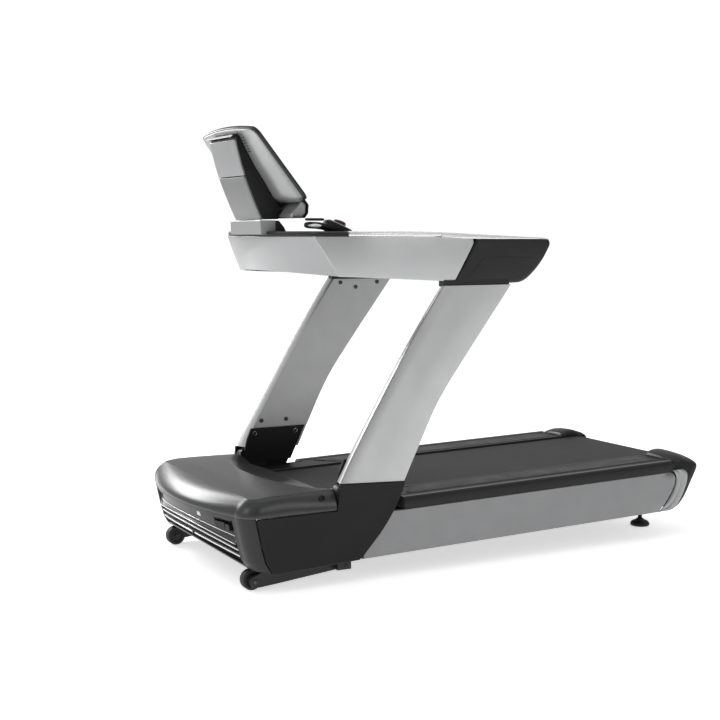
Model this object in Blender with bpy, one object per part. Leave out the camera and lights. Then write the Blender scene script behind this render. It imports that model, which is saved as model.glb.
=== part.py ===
"""Commercial treadmill, modelled in metres with +Z up.

-X is the motor and console end, +X the step-on end, +Y the user's right.  The
origin is on the floor under the middle of the machine.  The running deck is
raised slightly towards the rear, so deck parts use deck_z() for their heights.
"""
import math
import bpy
import bmesh

for leftover in list(bpy.data.objects):
    bpy.data.objects.remove(leftover, do_unlink=True)

# ---- driving dimensions (metres) -------------------------------------------
GAP = 0.0004            # clearance between neighbouring pieces
DECK_RISE = 0.0215      # deck height gained per metre towards the rear

FRONT_X = -1.055        # nose of the hood and fascia
REAR_X = 1.055          # end of the rear caps
BODY_HALF = 0.474       # outside of the side covers
BOW = 0.43              # forward bow of the hood in plan
CORNER_Y = 0.40         # where the hood's front corner starts
SIDE_Y = 0.4605         # outside of side panels and rails

BELT_HALF = 0.272
BELT_TOP = 0.2835       # height of the running surface at X = 0
BELT_THICK = 0.0025
ROLLER_R = 0.042
FRONT_ROLLER_X = -0.690
REAR_ROLLER_X = 0.995
ROLLER_HALF = 0.285
PULLEY_R = 0.056
PULLEY_X0, PULLEY_X1 = 0.290, 0.312
MOTOR_PULLEY_R = 0.024
MOTOR_X, MOTOR_Z = -0.850, 0.180
MOTOR_R = 0.058

RAIL_IN = 0.2765
RAIL_LOW = 0.2475
PANEL_LOW = 0.0885
RAIL_X0, RAIL_X1 = -0.560, 0.905

WHEEL_R = 0.036
WHEEL_X = -0.916
WHEEL_IN, WHEEL_OUT = 0.358, 0.392
AXLE_R = 0.008
PIVOT_X, PIVOT_Z = -0.585, 0.066
PIVOT_R = 0.010
FOOT_X, FOOT_Y = 0.929, 0.237
FOOT_R = 0.040
FOOT_STEM_R = 0.009

ARM_SKIN = 0.014
POST_HALF = 0.120
BASE_HALF = 0.140
DISPLAY_HALF = 0.250
DISPLAY_LOW = (-0.623, 1.349)    # X, Z of the screen's lower edge
DISPLAY_TOP = (-0.825, 1.597)    # X, Z of the screen's upper edge
FASCIA_TOP = 0.265
FASCIA_LOW = 0.0755     # lower edge of the fascia beside the wheels
FASCIA_ARCH = 0.049     # how far that edge rises at the middle
ZONE_HALF = 0.382       # half width of the socket and grille area
SOCKET_Y, SOCKET_Z = 0.322, 0.2225
STOP_X, STOP_Z = -0.383, 1.2440
STOP_TILT = 20          # degrees the stop button leans towards the user
BUTTON_R = 0.026
PADDLE_X = -0.628

# ---- materials ---------------------------------------------------------------
PAINTS = {
    "charcoal_plastic": ((0.045, 0.046, 0.048), 0.42, 0.0),
    "black_plastic": ((0.018, 0.018, 0.019), 0.50, 0.0),
    "cover_plastic": ((0.026, 0.026, 0.028), 0.38, 0.0),
    "rail_plastic": ((0.022, 0.022, 0.023), 0.55, 0.0),
    "silver_paint": ((0.46, 0.47, 0.48), 0.34, 0.65),
    "light_trim": ((0.62, 0.63, 0.64), 0.25, 0.85),
    "blade_aluminium": ((0.50, 0.51, 0.52), 0.32, 0.85),
    "belt_pvc": ((0.035, 0.035, 0.037), 0.80, 0.0),
    "deck_laminate": ((0.23, 0.17, 0.11), 0.55, 0.0),
    "frame_steel": ((0.06, 0.06, 0.065), 0.45, 0.6),
    "roller_steel": ((0.45, 0.45, 0.46), 0.30, 1.0),
    "wheel_rubber": ((0.02, 0.02, 0.02), 0.70, 0.0),
    "motor_paint": ((0.03, 0.03, 0.032), 0.40, 0.4),
    "screen_glass": ((0.012, 0.013, 0.015), 0.08, 0.0),
    "shell_plastic": ((0.33, 0.34, 0.35), 0.38, 0.2),
    "stop_red": ((0.45, 0.02, 0.02), 0.40, 0.0),
}


def paint(obj, kind):
    mat = bpy.data.materials.new(obj.name + "_mat")
    mat.use_nodes = True
    shader = mat.node_tree.nodes["Principled BSDF"]
    colour, rough, metal = PAINTS[kind]
    shader.inputs["Base Color"].default_value = (*colour, 1.0)
    shader.inputs["Roughness"].default_value = rough
    shader.inputs["Metallic"].default_value = metal
    obj.data.materials.append(mat)


def finish(name, mesh_bm, kind, origin=(0, 0, 0), smooth=False):
    """Turn a bmesh drawn in world coordinates into an object with its origin moved."""
    bmesh.ops.remove_doubles(mesh_bm, verts=mesh_bm.verts, dist=0.00005)
    bmesh.ops.recalc_face_normals(mesh_bm, faces=mesh_bm.faces)
    for v in mesh_bm.verts:
        v.co.x -= origin[0]
        v.co.y -= origin[1]
        v.co.z -= origin[2]
    mesh = bpy.data.meshes.new(name)
    mesh_bm.to_mesh(mesh)
    mesh_bm.free()
    obj = bpy.data.objects.new(name, mesh)
    obj.location = origin
    bpy.context.scene.collection.objects.link(obj)
    paint(obj, kind)
    if smooth:
        for poly in mesh.polygons:
            poly.use_smooth = True
    return obj


def bevel(obj, width, segments=2, angle=35):
    mod = obj.modifiers.new("edge", "BEVEL")
    mod.width = width
    mod.segments = segments
    mod.limit_method = "ANGLE"
    mod.angle_limit = math.radians(angle)
    return obj


def rings(name, loops, kind, origin=(0, 0, 0), cap=True, smooth=False):
    """Skin equal-length rings into one closed body.

    cap=True closes both ends with flat faces, "strip" closes the ends of a thin
    sheet with quads, and cap=False joins the last ring back to the first.
    """
    bm = bmesh.new()
    grid = [[bm.verts.new(p) for p in loop] for loop in loops]
    n = len(grid[0])
    pairs = list(zip(grid, grid[1:])) + ([] if cap else [(grid[-1], grid[0])])
    for a, b in pairs:
        for i in range(n):
            j = (i + 1) % n
            bm.faces.new((a[i], a[j], b[j], b[i]))
    if cap == "strip":
        for ring in (grid[0], grid[-1]):
            for i in range(n // 2 - 1):
                bm.faces.new((ring[i], ring[i + 1], ring[n - 2 - i], ring[n - 1 - i]))
    elif cap:
        bm.faces.new(grid[0][::-1])
        bm.faces.new(grid[-1])
    return finish(name, bm, kind, origin, smooth)


def box(name, x, y, z, kind, origin=(0, 0, 0), tilt=0.0):
    corners = [(x[0], z[0]), (x[1], z[0]), (x[1], z[1]), (x[0], z[1])]
    loops = [[(px, yy, pz + tilt * px) for px, pz in corners] for yy in y]
    return rings(name, loops, kind, origin)


def side_plate(name, outline, y0, y1, kind, top_y0=None, origin=(0, 0, 0)):
    """Extrude an XZ outline along Y; top_y0 tapers the inner face with height."""
    zs = [p[1] for p in outline]
    low, high = min(zs), max(zs)

    def inner(z):
        if top_y0 is None:
            return y0
        return y0 + (top_y0 - y0) * (z - low) / (high - low)
    a = [(p[0], inner(p[1]), p[1]) for p in outline]
    b = [(p[0], y1, p[1]) for p in outline]
    return rings(name, [a, b], kind, origin)


def round_y(name, x, z, radii, ys, kind, count=32, bore=0.0, origin=None):
    """Turned piece on an axis along Y; radii and ys list its steps."""
    loops = []
    turn = [2 * math.pi * (i + 0.5) / count for i in range(count)]
    if bore:
        profile = [(bore, ys[0])] + list(zip(radii, ys)) + [(bore, ys[-1])]
    else:
        profile = list(zip(radii, ys))
    for r, y in profile:
        loops.append([(x + r * math.cos(a), y, z + r * math.sin(a)) for a in turn])
    return rings(name, loops, kind, origin or (x, (ys[0] + ys[-1]) / 2, z),
                 cap=not bore, smooth=True)


def round_z(name, x, y, radii, zs, kind, count=32, origin=None):
    turn = [2 * math.pi * (i + 0.5) / count for i in range(count)]
    loops = [[(x + r * math.cos(a), y + r * math.sin(a), z) for a in turn]
             for r, z in zip(radii, zs)]
    return rings(name, loops, kind, origin or (x, y, zs[0]), smooth=True)


def cut(obj, cutter):
    mod = obj.modifiers.new("cut", "BOOLEAN")
    mod.operation = "DIFFERENCE"
    mod.solver = "EXACT"
    mod.object = cutter
    cutter.hide_render = True
    cutter.display_type = "WIRE"


def merge_in(obj, extra):
    mod = obj.modifiers.new("join", "BOOLEAN")
    mod.operation = "UNION"
    mod.solver = "EXACT"
    mod.object = extra
    extra.hide_render = True
    extra.display_type = "WIRE"


def deck_z(x, w):
    return w + DECK_RISE * x


def mix(a, b, t):
    return a + (b - a) * t


def ease(t):
    t = max(0.0, min(1.0, t))
    return t * t * (3 - 2 * t)


# ---- plan outline of the hood and fascia ----------------------------------------
def nose_path(steps=13, corner=(18, 36, 54, 72, 90), side_x=-0.915):
    """Points (x, y) from the centre of the nose round to the side, y positive."""
    pts = []
    for i in range(steps):
        y = CORNER_Y * i / (steps - 1)
        pts.append((FRONT_X + BOW * y * y, y))
    x0, y0 = pts[-1]
    for degrees in corner:
        a = math.radians(degrees)
        pts.append((mix(x0, side_x, 1 - math.cos(a)), mix(y0, 0.470, math.sin(a))))
    return pts


def full_path(half):
    return [(x, -y) for x, y in half[:0:-1]] + half


def normals_of(path):
    """Inward unit normals of an open plan path."""
    out = []
    for i in range(len(path)):
        a = path[max(0, i - 1)]
        b = path[min(len(path) - 1, i + 1)]
        dx, dy = b[0] - a[0], b[1] - a[1]
        size = math.hypot(dx, dy)
        out.append((dy / size, -dx / size))
    return out


def hood():
    """Moulded cover over the motor, with a rounded band and a dip at the belt."""
    half = nose_path() + [(-0.80, 0.470), (-0.70, 0.470), (-0.628, 0.469),
                          (-0.619, 0.405), (-0.596, 0.345), (-0.583, 0.28),
                          (-0.583, 0.14), (-0.583, 0.0)]
    count = len(half)
    left = [(x, -y) for x, y in half[-2:0:-1]]
    loop = half + left
    n = len(loop)
    norm = []
    for i in range(n):
        a, b = loop[i - 1], loop[(i + 1) % n]
        dx, dy = b[0] - a[0], b[1] - a[1]
        size = math.hypot(dx, dy)
        norm.append((dy / size, -dx / size))
    edge = [1.0 if abs(y) > 0.46 else ease((-0.66 - x) / 0.08) for x, y in loop]

    def top_z(x, y):
        crown = 0.338 - 0.02 * (abs(y) / 0.47) ** 4 * 0.4
        dip = ease((x + 0.76) / 0.18) * 0.044 * (1 - 0.75 * ease((abs(y) - 0.33) / 0.1))
        return crown - dip

    steps = [(0.0, 0.0), (0.001, 0.35), (0.006, 0.62), (0.017, 0.84), (0.032, 0.96), (0.046, 1.0)]
    shells = []
    for skin in (0.0, 0.005):
        stack = []
        for d, h in steps:
            ring = []
            for (x, y), (nx, ny), e in zip(loop, norm, edge):
                depth = (d * e + 0.002 * (1 - e) * h) + skin
                px, py = x + nx * depth, y + ny * depth
                low = mix(top_z(x, y) - 0.014, 0.2655, e)
                zz = mix(low, top_z(px, py) - skin, h)
                ring.append((px, py, zz))
            stack.append(ring)
        shells.append(stack)
    outer, inner = shells
    bm = bmesh.new()
    vo = [[bm.verts.new(p) for p in ring] for ring in outer]
    vi = [[bm.verts.new(p) for p in ring] for ring in inner]
    for stack in (vo, vi):
        for a, b in zip(stack, stack[1:]):
            for i in range(n):
                j = (i + 1) % n
                bm.faces.new((a[i], a[j], b[j], b[i]))
    for i in range(n):
        j = (i + 1) % n
        bm.faces.new((vo[0][i], vo[0][j], vi[0][j], vi[0][i]))
    for stack, skin in ((vo, 0.0), (vi, 0.005)):
        ring = stack[-1]
        cols = []
        for k in range(1, count - 3):
            r, l = ring[k], ring[n - k]
            row = [r]
            for t in (0.25, 0.5, 0.75):
                x = mix(r.co.x, l.co.x, t)
                y = mix(r.co.y, l.co.y, t)
                row.append(bm.verts.new((x, y, top_z(x, y) - skin)))
            row.append(l)
            cols.append(row)
        cols.append([ring[count - 3], ring[count - 2], ring[count - 1],
                     ring[n - count + 2], ring[n - count + 3]])
        bm.faces.new([ring[0]] + cols[0])
        for a, b in zip(cols, cols[1:]):
            for i in range(4):
                bm.faces.new((a[i], a[i + 1], b[i + 1], b[i]))
    return finish("hood", bm, "charcoal_plastic", smooth=True)


def arched(y, z):
    """Height on the fascia, whose rows all rise towards the middle of the nose."""
    rise = FASCIA_ARCH * max(0.0, 1 - (y / CORNER_Y) ** 2)
    return FASCIA_TOP - (FASCIA_TOP - z) * (1 - rise / (FASCIA_TOP - FASCIA_LOW))


def swept_skirt(name, path, profile, kind):
    """Sweep a closed profile of (setback in X, depth inwards, z) along a plan path."""
    norm = normals_of(path)
    loops = []
    for (x, y), (nx, ny) in zip(path, norm):
        loops.append([(x + back + nx * d, y + ny * d, arched(y, z)) for back, d, z in profile])
    return rings(name, loops, kind, cap="strip")


def front_panels():
    path = full_path(nose_path(corner=(18, 36, 54, 72)))
    face = [(0.000, FASCIA_TOP), (0.004, 0.245), (0.012, 0.205), (0.022, 0.160), (0.036, 0.110),
            (0.050, 0.0855), (0.058, FASCIA_LOW)]
    profile = [(back, 0.0, z) for back, z in face] + [(back, 0.006, z) for back, z in face[::-1]]
    swept_skirt("front_fascia", path, profile, "charcoal_plastic")
    centre = [(FRONT_X + BOW * y * y, y) for y in (ZONE_HALF * i / 11 for i in range(-11, 12))]
    for name, face, proud, kind in (
            ("socket_panel", [(0.0024, 0.2490), (0.0040, 0.2445), (0.0116, 0.2050)], 0.0022,
             "black_plastic"),
            ("front_grille", [(0.0130, 0.1990), (0.0215, 0.1600), (0.0352, 0.1100), (0.0425, 0.0960)],
             0.0060, "light_trim")):
        profile = [(back, -proud, z) for back, z in face]
        profile += [(back, -0.0006, z) for back, z in face[::-1]]
        swept_skirt(name, centre, profile, kind)
    for tag, s in (("l", -1), ("r", 1)):
        y = s * SOCKET_Y
        spot = (FRONT_X + BOW * y * y + 0.0080, y, SOCKET_Z)
        slant = (0.0, math.radians(-6.5), -math.atan(2 * BOW * y))
        recess = box("socket_recess_" + tag, (-0.020, 0.035), (-0.050, 0.048), (-0.0145, 0.0145),
                     "black_plastic")
        pieces = [recess]
        if s < 0:
            pieces.append(box("power_inlet", (0.004, 0.028), (-0.014, 0.040), (-0.0130, 0.0130),
                              "black_plastic"))
            pieces.append(box("power_rocker", (-0.001, 0.012), (-0.045, -0.023), (-0.0110, 0.0110),
                              "black_plastic"))
            bevel(pieces[-1], 0.001, 1)
        for piece in pieces:
            piece.location = spot
            piece.rotation_euler = slant
        for sheet in ("socket_panel", "front_fascia"):
            cut(bpy.data.objects[sheet], recess)


# ---- deck ---------------------------------------------------------------------
def running_belt():
    outer_r = ROLLER_R + GAP + BELT_THICK
    z_front = deck_z(FRONT_ROLLER_X, BELT_TOP) - outer_r
    z_rear = deck_z(REAR_ROLLER_X, BELT_TOP) - outer_r
    tilt = math.atan2(z_rear - z_front, REAR_ROLLER_X - FRONT_ROLLER_X)

    def loop(radius, y):
        pts = []
        for i in range(13):
            a = math.radians(-90) + math.pi * i / 12 + tilt
            pts.append((REAR_ROLLER_X + radius * math.cos(a), y, z_rear + radius * math.sin(a)))
        for i in range(13):
            a = math.radians(90) + math.pi * i / 12 + tilt
            pts.append((FRONT_ROLLER_X + radius * math.cos(a), y, z_front + radius * math.sin(a)))
        return pts
    inner_r = outer_r - BELT_THICK
    loops = [loop(inner_r, -BELT_HALF), loop(outer_r, -BELT_HALF),
             loop(outer_r, BELT_HALF), loop(inner_r, BELT_HALF)]
    rings("running_belt", loops, "belt_pvc", cap=False, smooth=False)
    for name, x, z, pulley in (("front_roller", FRONT_ROLLER_X, z_front, True),
                               ("rear_roller", REAR_ROLLER_X, z_rear, False)):
        radii = [0.010, 0.010, ROLLER_R, ROLLER_R, 0.010, 0.010]
        ys = [-0.325, -ROLLER_HALF, -ROLLER_HALF, ROLLER_HALF, ROLLER_HALF, 0.325]
        if pulley:
            radii[4:4] = [0.010, PULLEY_R, PULLEY_R]
            ys[4:4] = [ROLLER_HALF, PULLEY_X0, PULLEY_X1]
            radii[-2:] = [0.010, 0.010]
            ys[-2:] = [PULLEY_X1, 0.325]
        round_y(name, x, z, radii, ys, "roller_steel", 40, origin=(x, 0, z))
    return z_front, z_rear


def drive_gear(z_front):
    round_y("motor_pulley", MOTOR_X, MOTOR_Z,
            [0.007, 0.007, MOTOR_PULLEY_R, MOTOR_PULLEY_R], [0.272, PULLEY_X0, PULLEY_X0, PULLEY_X1],
            "roller_steel", 28, origin=(MOTOR_X, 0.30, MOTOR_Z))
    round_y("drive_motor", MOTOR_X, MOTOR_Z,
            [0.030, MOTOR_R, MOTOR_R, 0.030], [0.020, 0.028, 0.262, 0.270], "motor_paint", 28)
    dx, dz = FRONT_ROLLER_X - MOTOR_X, z_front - MOTOR_Z
    span = math.hypot(dx, dz)
    base = math.atan2(dz, dx)
    lean = math.acos((MOTOR_PULLEY_R - PULLEY_R) / span)

    def loop(extra, y):
        pts = []
        for i in range(9):
            a = base + lean + (2 * math.pi - 2 * lean) * i / 8
            r = MOTOR_PULLEY_R + GAP + extra
            pts.append((MOTOR_X + r * math.cos(a), y, MOTOR_Z + r * math.sin(a)))
        for i in range(13):
            a = base - lean + 2 * lean * i / 12
            r = PULLEY_R + GAP + extra
            pts.append((FRONT_ROLLER_X + r * math.cos(a), y, z_front + r * math.sin(a)))
        return pts
    y0, y1 = PULLEY_X0 + 0.002, PULLEY_X1 - 0.002
    rings("drive_belt", [loop(0.0012, y0), loop(0.0042, y0), loop(0.0042, y1), loop(0.0012, y1)],
          "wheel_rubber", cap=False)


def chassis():
    for tag, s in (("l", -1), ("r", 1)):
        outline = [(-0.830, 0.118), (-0.612, 0.118), (-0.612, 0.044), (-0.558, 0.044),
                   (-0.558, 0.106), (0.955, 0.106), (0.955, 0.186), (-0.830, 0.186)]
        loops = [[(x, s * y, z if z < 0.1 else deck_z(x, z)) for x, z in outline]
                 for y in (0.4205, 0.4420)]
        rail = rings("frame_rail_" + tag, loops, "frame_steel")
        hole = round_y("pivot_hole_" + tag, PIVOT_X, PIVOT_Z, [PIVOT_R + GAP] * 2,
                       [min(s * 0.41, s * 0.45), max(s * 0.41, s * 0.45)], "frame_steel", 24)
        cut(rail, hole)
    box("cross_front", (-0.800, -0.750), (-0.4200, 0.4200), (0.124, 0.150), "frame_steel",
        tilt=DECK_RISE)
    rear = box("cross_rear", (0.900, 0.952), (-0.4200, 0.4200), (0.110, 0.165), "frame_steel",
               tilt=DECK_RISE)
    for s in (-1, 1):
        hole = round_z("foot_hole_" + str(s + 1), FOOT_X, s * FOOT_Y, [FOOT_STEM_R + 0.0005] * 2,
                       [0.09, 0.23], "frame_steel", 28)
        cut(rear, hole)
    box("deck_board", (-0.625, 0.935), (-0.290, 0.290), (0.2605, 0.2805), "deck_laminate",
        tilt=DECK_RISE)


def foot_rail(tag, s):
    """Plastic rail beside the belt: ribbed step area, light edge and dark side band."""
    section = [(RAIL_IN, 0.2822), (RAIL_IN, 0.2885), (RAIL_IN + 0.004, 0.2915), (0.300, 0.2925),
               (0.405, 0.2925), (0.440, 0.2920), (0.4555, 0.2880), (SIDE_Y, 0.2800),
               (SIDE_Y, RAIL_LOW + 0.001), (0.446, RAIL_LOW + 0.001), (0.446, 0.2745),
               (0.430, 0.2835), (0.296, 0.2835), (0.292, 0.2822)]
    loops = [[(x, s * y, deck_z(x, z)) for y, z in section] for x in (RAIL_X0, RAIL_X1)]
    rail = rings("foot_rail_" + tag, loops, "rail_plastic")
    relief = box("rail_relief_" + tag, (-0.600, -0.350), sorted((s * 0.390, s * 0.480)),
                 (0.200, 0.330), "rail_plastic")
    cut(rail, relief)


def side_panel(tag, s):
    """Silver side panel of the deck with a rounded rear top corner."""
    pts = [(-0.520, PANEL_LOW), (0.834, PANEL_LOW + 0.002)]
    for x, w in ((0.866, 0.118), (0.899, 0.158), (0.918, 0.196), (0.921, 0.222), (0.911, 0.238)):
        pts.append((x, w))
    pts += [(0.893, RAIL_LOW), (-0.470, RAIL_LOW)]
    outline = [(x, deck_z(x, w)) for x, w in pts]
    side_plate("side_panel_" + tag, outline, s * 0.4450, s * SIDE_Y, "silver_paint")
    accent = [(0.8385, 0.0905), (0.915, 0.0920), (0.955, 0.130), (0.983, 0.185), (0.990, 0.222),
              (0.980, 0.243), (0.960, 0.252), (0.9062, 0.252), (0.916, 0.242), (0.9255, 0.224),
              (0.9225, 0.195), (0.903, 0.156), (0.870, 0.116)]
    outline = [(x, deck_z(x, w)) for x, w in accent]
    side_plate("rear_accent_" + tag, outline, s * 0.4450, s * 0.4590, "light_trim")


def rear_cap(tag, s):
    """End cap that wraps the deck's rear corner and rises beside the belt."""
    body = [(0.9065, 0.100), (0.930, 0.087), (0.950, 0.095), (0.985, 0.128), (1.020, 0.180),
            (1.045, 0.228), (1.055, 0.256), (1.050, 0.278), (1.035, 0.292), (1.010, 0.3020),
            (0.975, 0.3130), (0.945, 0.3140), (0.915, 0.3060), (0.9065, 0.2925)]
    loops = []
    for y, lift, inset in ((RAIL_IN + 0.001, -0.004, 0.010), (0.292, 0.0, 0.0),
                           (0.350, -0.002, 0.0), (0.420, -0.010, 0.002), (0.4445, -0.018, 0.008)):
        ring = []
        for x, w in body:
            zz = w + (lift if w > 0.28 and x > 0.91 else 0.0)
            xx = x - (inset if x > 0.99 else 0.0)
            ring.append((min(xx, REAR_X), s * y, deck_z(xx, zz)))
        loops.append(ring)
    cap = rings("rear_cap_" + tag, loops, "charcoal_plastic")
    slot = box("cap_slot_" + tag, (0.80, 1.046), sorted((s * 0.20, s * 0.330)), (0.05, 0.2845),
               "charcoal_plastic", tilt=DECK_RISE)
    cut(cap, slot)
    slot2 = box("cap_rail_slot_" + tag, (0.80, 0.9580), sorted((s * 0.320, s * 0.4425)),
                (0.05, 0.2845), "charcoal_plastic", tilt=DECK_RISE)
    cut(cap, slot2)


def side_cover(tag, s):
    """Dark skirt beside the motor bay, swept up at the rear to hold the upright."""
    path = [(-0.9320, 0.2640), (-0.627, 0.2640), (-0.622, 0.300), (-0.6165, 0.3565),
            (-0.353, 0.3445), (-0.365, 0.312), (-0.400, 0.244), (-0.428, 0.202),
            (-0.456, 0.166), (-0.494, 0.125), (-0.520, 0.097), (-0.540, 0.080),
            (-0.700, 0.0735), (-0.872, 0.0665), (-0.883, 0.0855), (-0.897, 0.110),
            (-0.911, 0.160), (-0.921, 0.205), (-0.929, 0.245)]
    a = [(x, s * 0.4610, z) for x, z in path]
    b = [(x, s * BODY_HALF, z) for x, z in path]
    cover = rings("side_cover_" + tag, [a, b], "cover_plastic")
    bevel(cover, 0.003, 2, 40)


def upright(tag, s):
    """Leaning aluminium blade, its dark foot bracket and the arm above it."""
    front = [(-0.614, 0.3585), (-0.553, 0.474), (-0.453, 0.644), (-0.347, 0.816),
             (-0.231, 0.991), (-0.196, 1.0400)]
    rear = [(0.099, 1.0400), (0.057, 0.984), (-0.081, 0.805), (-0.209, 0.629),
            (-0.300, 0.454), (-0.353, 0.3465)]
    pts = front + rear
    loops = []
    for y, inset in ((0.4150, 0.0015), (0.4180, 0.0), (0.4640, 0.0), (0.4680, 0.004)):
        ring = []
        for i, (x, z) in enumerate(pts):
            shift = inset if i < len(front) else -inset
            taper = 0.012 * (z - 0.35) / 0.69 if y < 0.44 else 0.0
            ring.append((x + shift, s * (y + taper), z))
        loops.append(ring)
    rings("blade_" + tag, loops, "blade_aluminium")
    bracket = [(-0.612, 0.297), (-0.590, 0.390), (-0.572, 0.4330), (-0.330, 0.4330),
               (-0.372, 0.345), (-0.395, 0.297)]
    side_plate("blade_bracket_" + tag, bracket, s * 0.4070, s * 0.4145, "black_plastic")


# ---- handrail arms ---------------------------------------------------------------
ARM_PATH = [(0.000, 0.4615), (-0.300, 0.4605), (-0.420, 0.4560), (-0.500, 0.4470),
            (-0.570, 0.4320), (-0.630, 0.4110), (-0.6700, 0.3920)]


def arm_low(x):
    return mix(1.0795, 1.0470, ease((x + 0.76) / 0.87))


def arm(tag, s):
    top_line = 1.2165
    # outer silver panel: its slanted front seam and its rounded rear end
    count = 9
    loops = []
    for i in range(count):
        t = i / (count - 1)
        top_x = mix(-0.6740, -0.055, t)
        low_x = mix(-0.5940, -0.144, t)
        ring = []
        for k in range(5):
            u = k / 4
            x = mix(low_x, top_x, u)
            z = mix(arm_low(low_x) + 0.001, top_line - 0.0085 * ease((top_x + 0.25) / 0.20), u)
            ring.append((x, z))
        loops.append(ring)
    bm = bmesh.new()
    faces = []
    for depth in (0.0, ARM_SKIN):
        grid = []
        for ring in loops:
            row = []
            for x, z in ring:
                y = side_y(x, z) - depth
                row.append(bm.verts.new((x, s * y, z)))
            grid.append(row)
        faces.append(grid)
    out, inn = faces
    rows, cols = len(out), len(out[0])
    for grid in (out, inn):
        for i in range(rows - 1):
            for k in range(cols - 1):
                bm.faces.new((grid[i][k], grid[i + 1][k], grid[i + 1][k + 1], grid[i][k + 1]))
    for i in range(rows - 1):
        for k in (0, cols - 1):
            bm.faces.new((out[i][k], out[i + 1][k], inn[i + 1][k], inn[i][k]))
    for k in range(cols - 1):
        for i in (0, rows - 1):
            bm.faces.new((out[i][k], out[i][k + 1], inn[i][k + 1], inn[i][k]))
    finish("arm_panel_" + tag, bm, "silver_paint")

    # inner core bar that carries the panel, the grip and the trim
    loops = []
    for x in (-0.560, -0.480, -0.400, -0.280, -0.160, 0.150):
        y1 = outer_y(x) - ARM_SKIN - 0.0045
        y0 = y1 - 0.052
        zt = 1.2120 - 0.0085 * ease((x + 0.30) / 0.14)
        zb = arm_low(x) + 0.0015
        loops.append([(x, s * y0, zb + 0.012), (x, s * (y0 + 0.010), zb), (x, s * y1, zb),
                      (x, s * y1, zt), (x, s * (y0 + 0.008), zt), (x, s * y0, zt - 0.010)])
    rings("arm_core_" + tag, loops, "black_plastic")

    # rear grip cap around the end of the core
    outline = [(-0.1425, 1.0470), (0.110, 1.0455), (0.160, 1.0530), (0.205, 1.0850),
               (0.245, 1.1300), (0.272, 1.1740), (0.2790, 1.1900), (0.272, 1.2050),
               (0.255, 1.2065), (-0.040, 1.2075), (-0.0520, 1.2010)]
    loops = []
    for y, inset in ((0.384, 0.006), (0.392, 0.0), (0.455, 0.0), (0.4625, 0.005)):
        ring = []
        for x, z in outline:
            cx, cz = 0.08, 1.13
            ring.append((x + (inset if x < cx else -inset), s * y,
                         z + (inset if z < cz else -inset)))
        loops.append(ring)
    grip = rings("arm_grip_" + tag, loops, "charcoal_plastic")
    pocket = box("grip_pocket_" + tag, (-0.30, 0.1520), sorted((s * 0.3880, s * 0.4460)),
                 (1.04, 1.2050), "charcoal_plastic")
    cut(grip, pocket)

    # light trim that runs along the top
    loops = []
    for x, zt in ((-0.560, 1.2360), (-0.490, 1.2360), (-0.420, 1.2355), (-0.220, 1.2330),
                  (0.000, 1.2230), (0.267, 1.2110)):
        y1 = outer_y(x) - 0.003
        y0 = y1 - 0.050
        zb = 1.2172 if x < -0.2 else 1.2082
        zb = min(zb, zt - 0.0035)
        loops.append([(x, s * y0, zb), (x, s * y1, zb), (x, s * (y1 - 0.002), zt - 0.003),
                      (x, s * (y1 - 0.007), zt), (x, s * (y0 + 0.006), zt), (x, s * y0, zt - 0.004)])
    rings("arm_trim_" + tag, loops, "light_trim")


def outer_y(x):
    """Outside of the arm in plan, bending inwards towards the front seam."""
    pts = [(-0.720, 0.362)] + ARM_PATH[::-1] + [(0.400, 0.4615)]
    for (xa, ya), (xb, yb) in zip(pts, pts[1:]):
        if xa <= x <= xb:
            return mix(ya, yb, (x - xa) / (xb - xa))
    return pts[0][1]


def side_y(x, z):
    """Outside of the arm at a height, crowned by 2 mm."""
    return outer_y(x) - 0.002 * (2 * (z - 1.14) / 0.15) ** 2


def cowl_x(y):
    return -0.757 + 0.528 * y * y


def cowl():
    """Bowed front panel between the two arm panels, down to a rising lower edge."""
    levels = (0.0, 0.30, 0.65, 1.0)
    count = 9
    loops = []
    for i in range(-count + 1, count):
        u = abs(i) / (count - 1)
        s = -1 if i < 0 else 1
        outer, inner = [], []
        for t in levels:
            x1 = mix(-0.6755, -0.5955, t)
            z1 = mix(1.2165, arm_low(x1) + 0.001, t)
            y1 = side_y(x1, z1)
            x0 = cowl_x(0) + 0.034 * t ** 1.5
            x, y = mix(x0, x1, u * u), y1 * u
            z = mix(1.2165, mix(1.092, arm_low(x1) + 0.001, u * u), t)
            outer.append((x, s * y, z))
            inner.append((x + 0.012 * (1 - u ** 4), s * (y - 0.012 * u * u), z))
        loops.append(outer + inner[::-1])
    rings("front_cowl", loops, "silver_paint", cap="strip")


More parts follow.
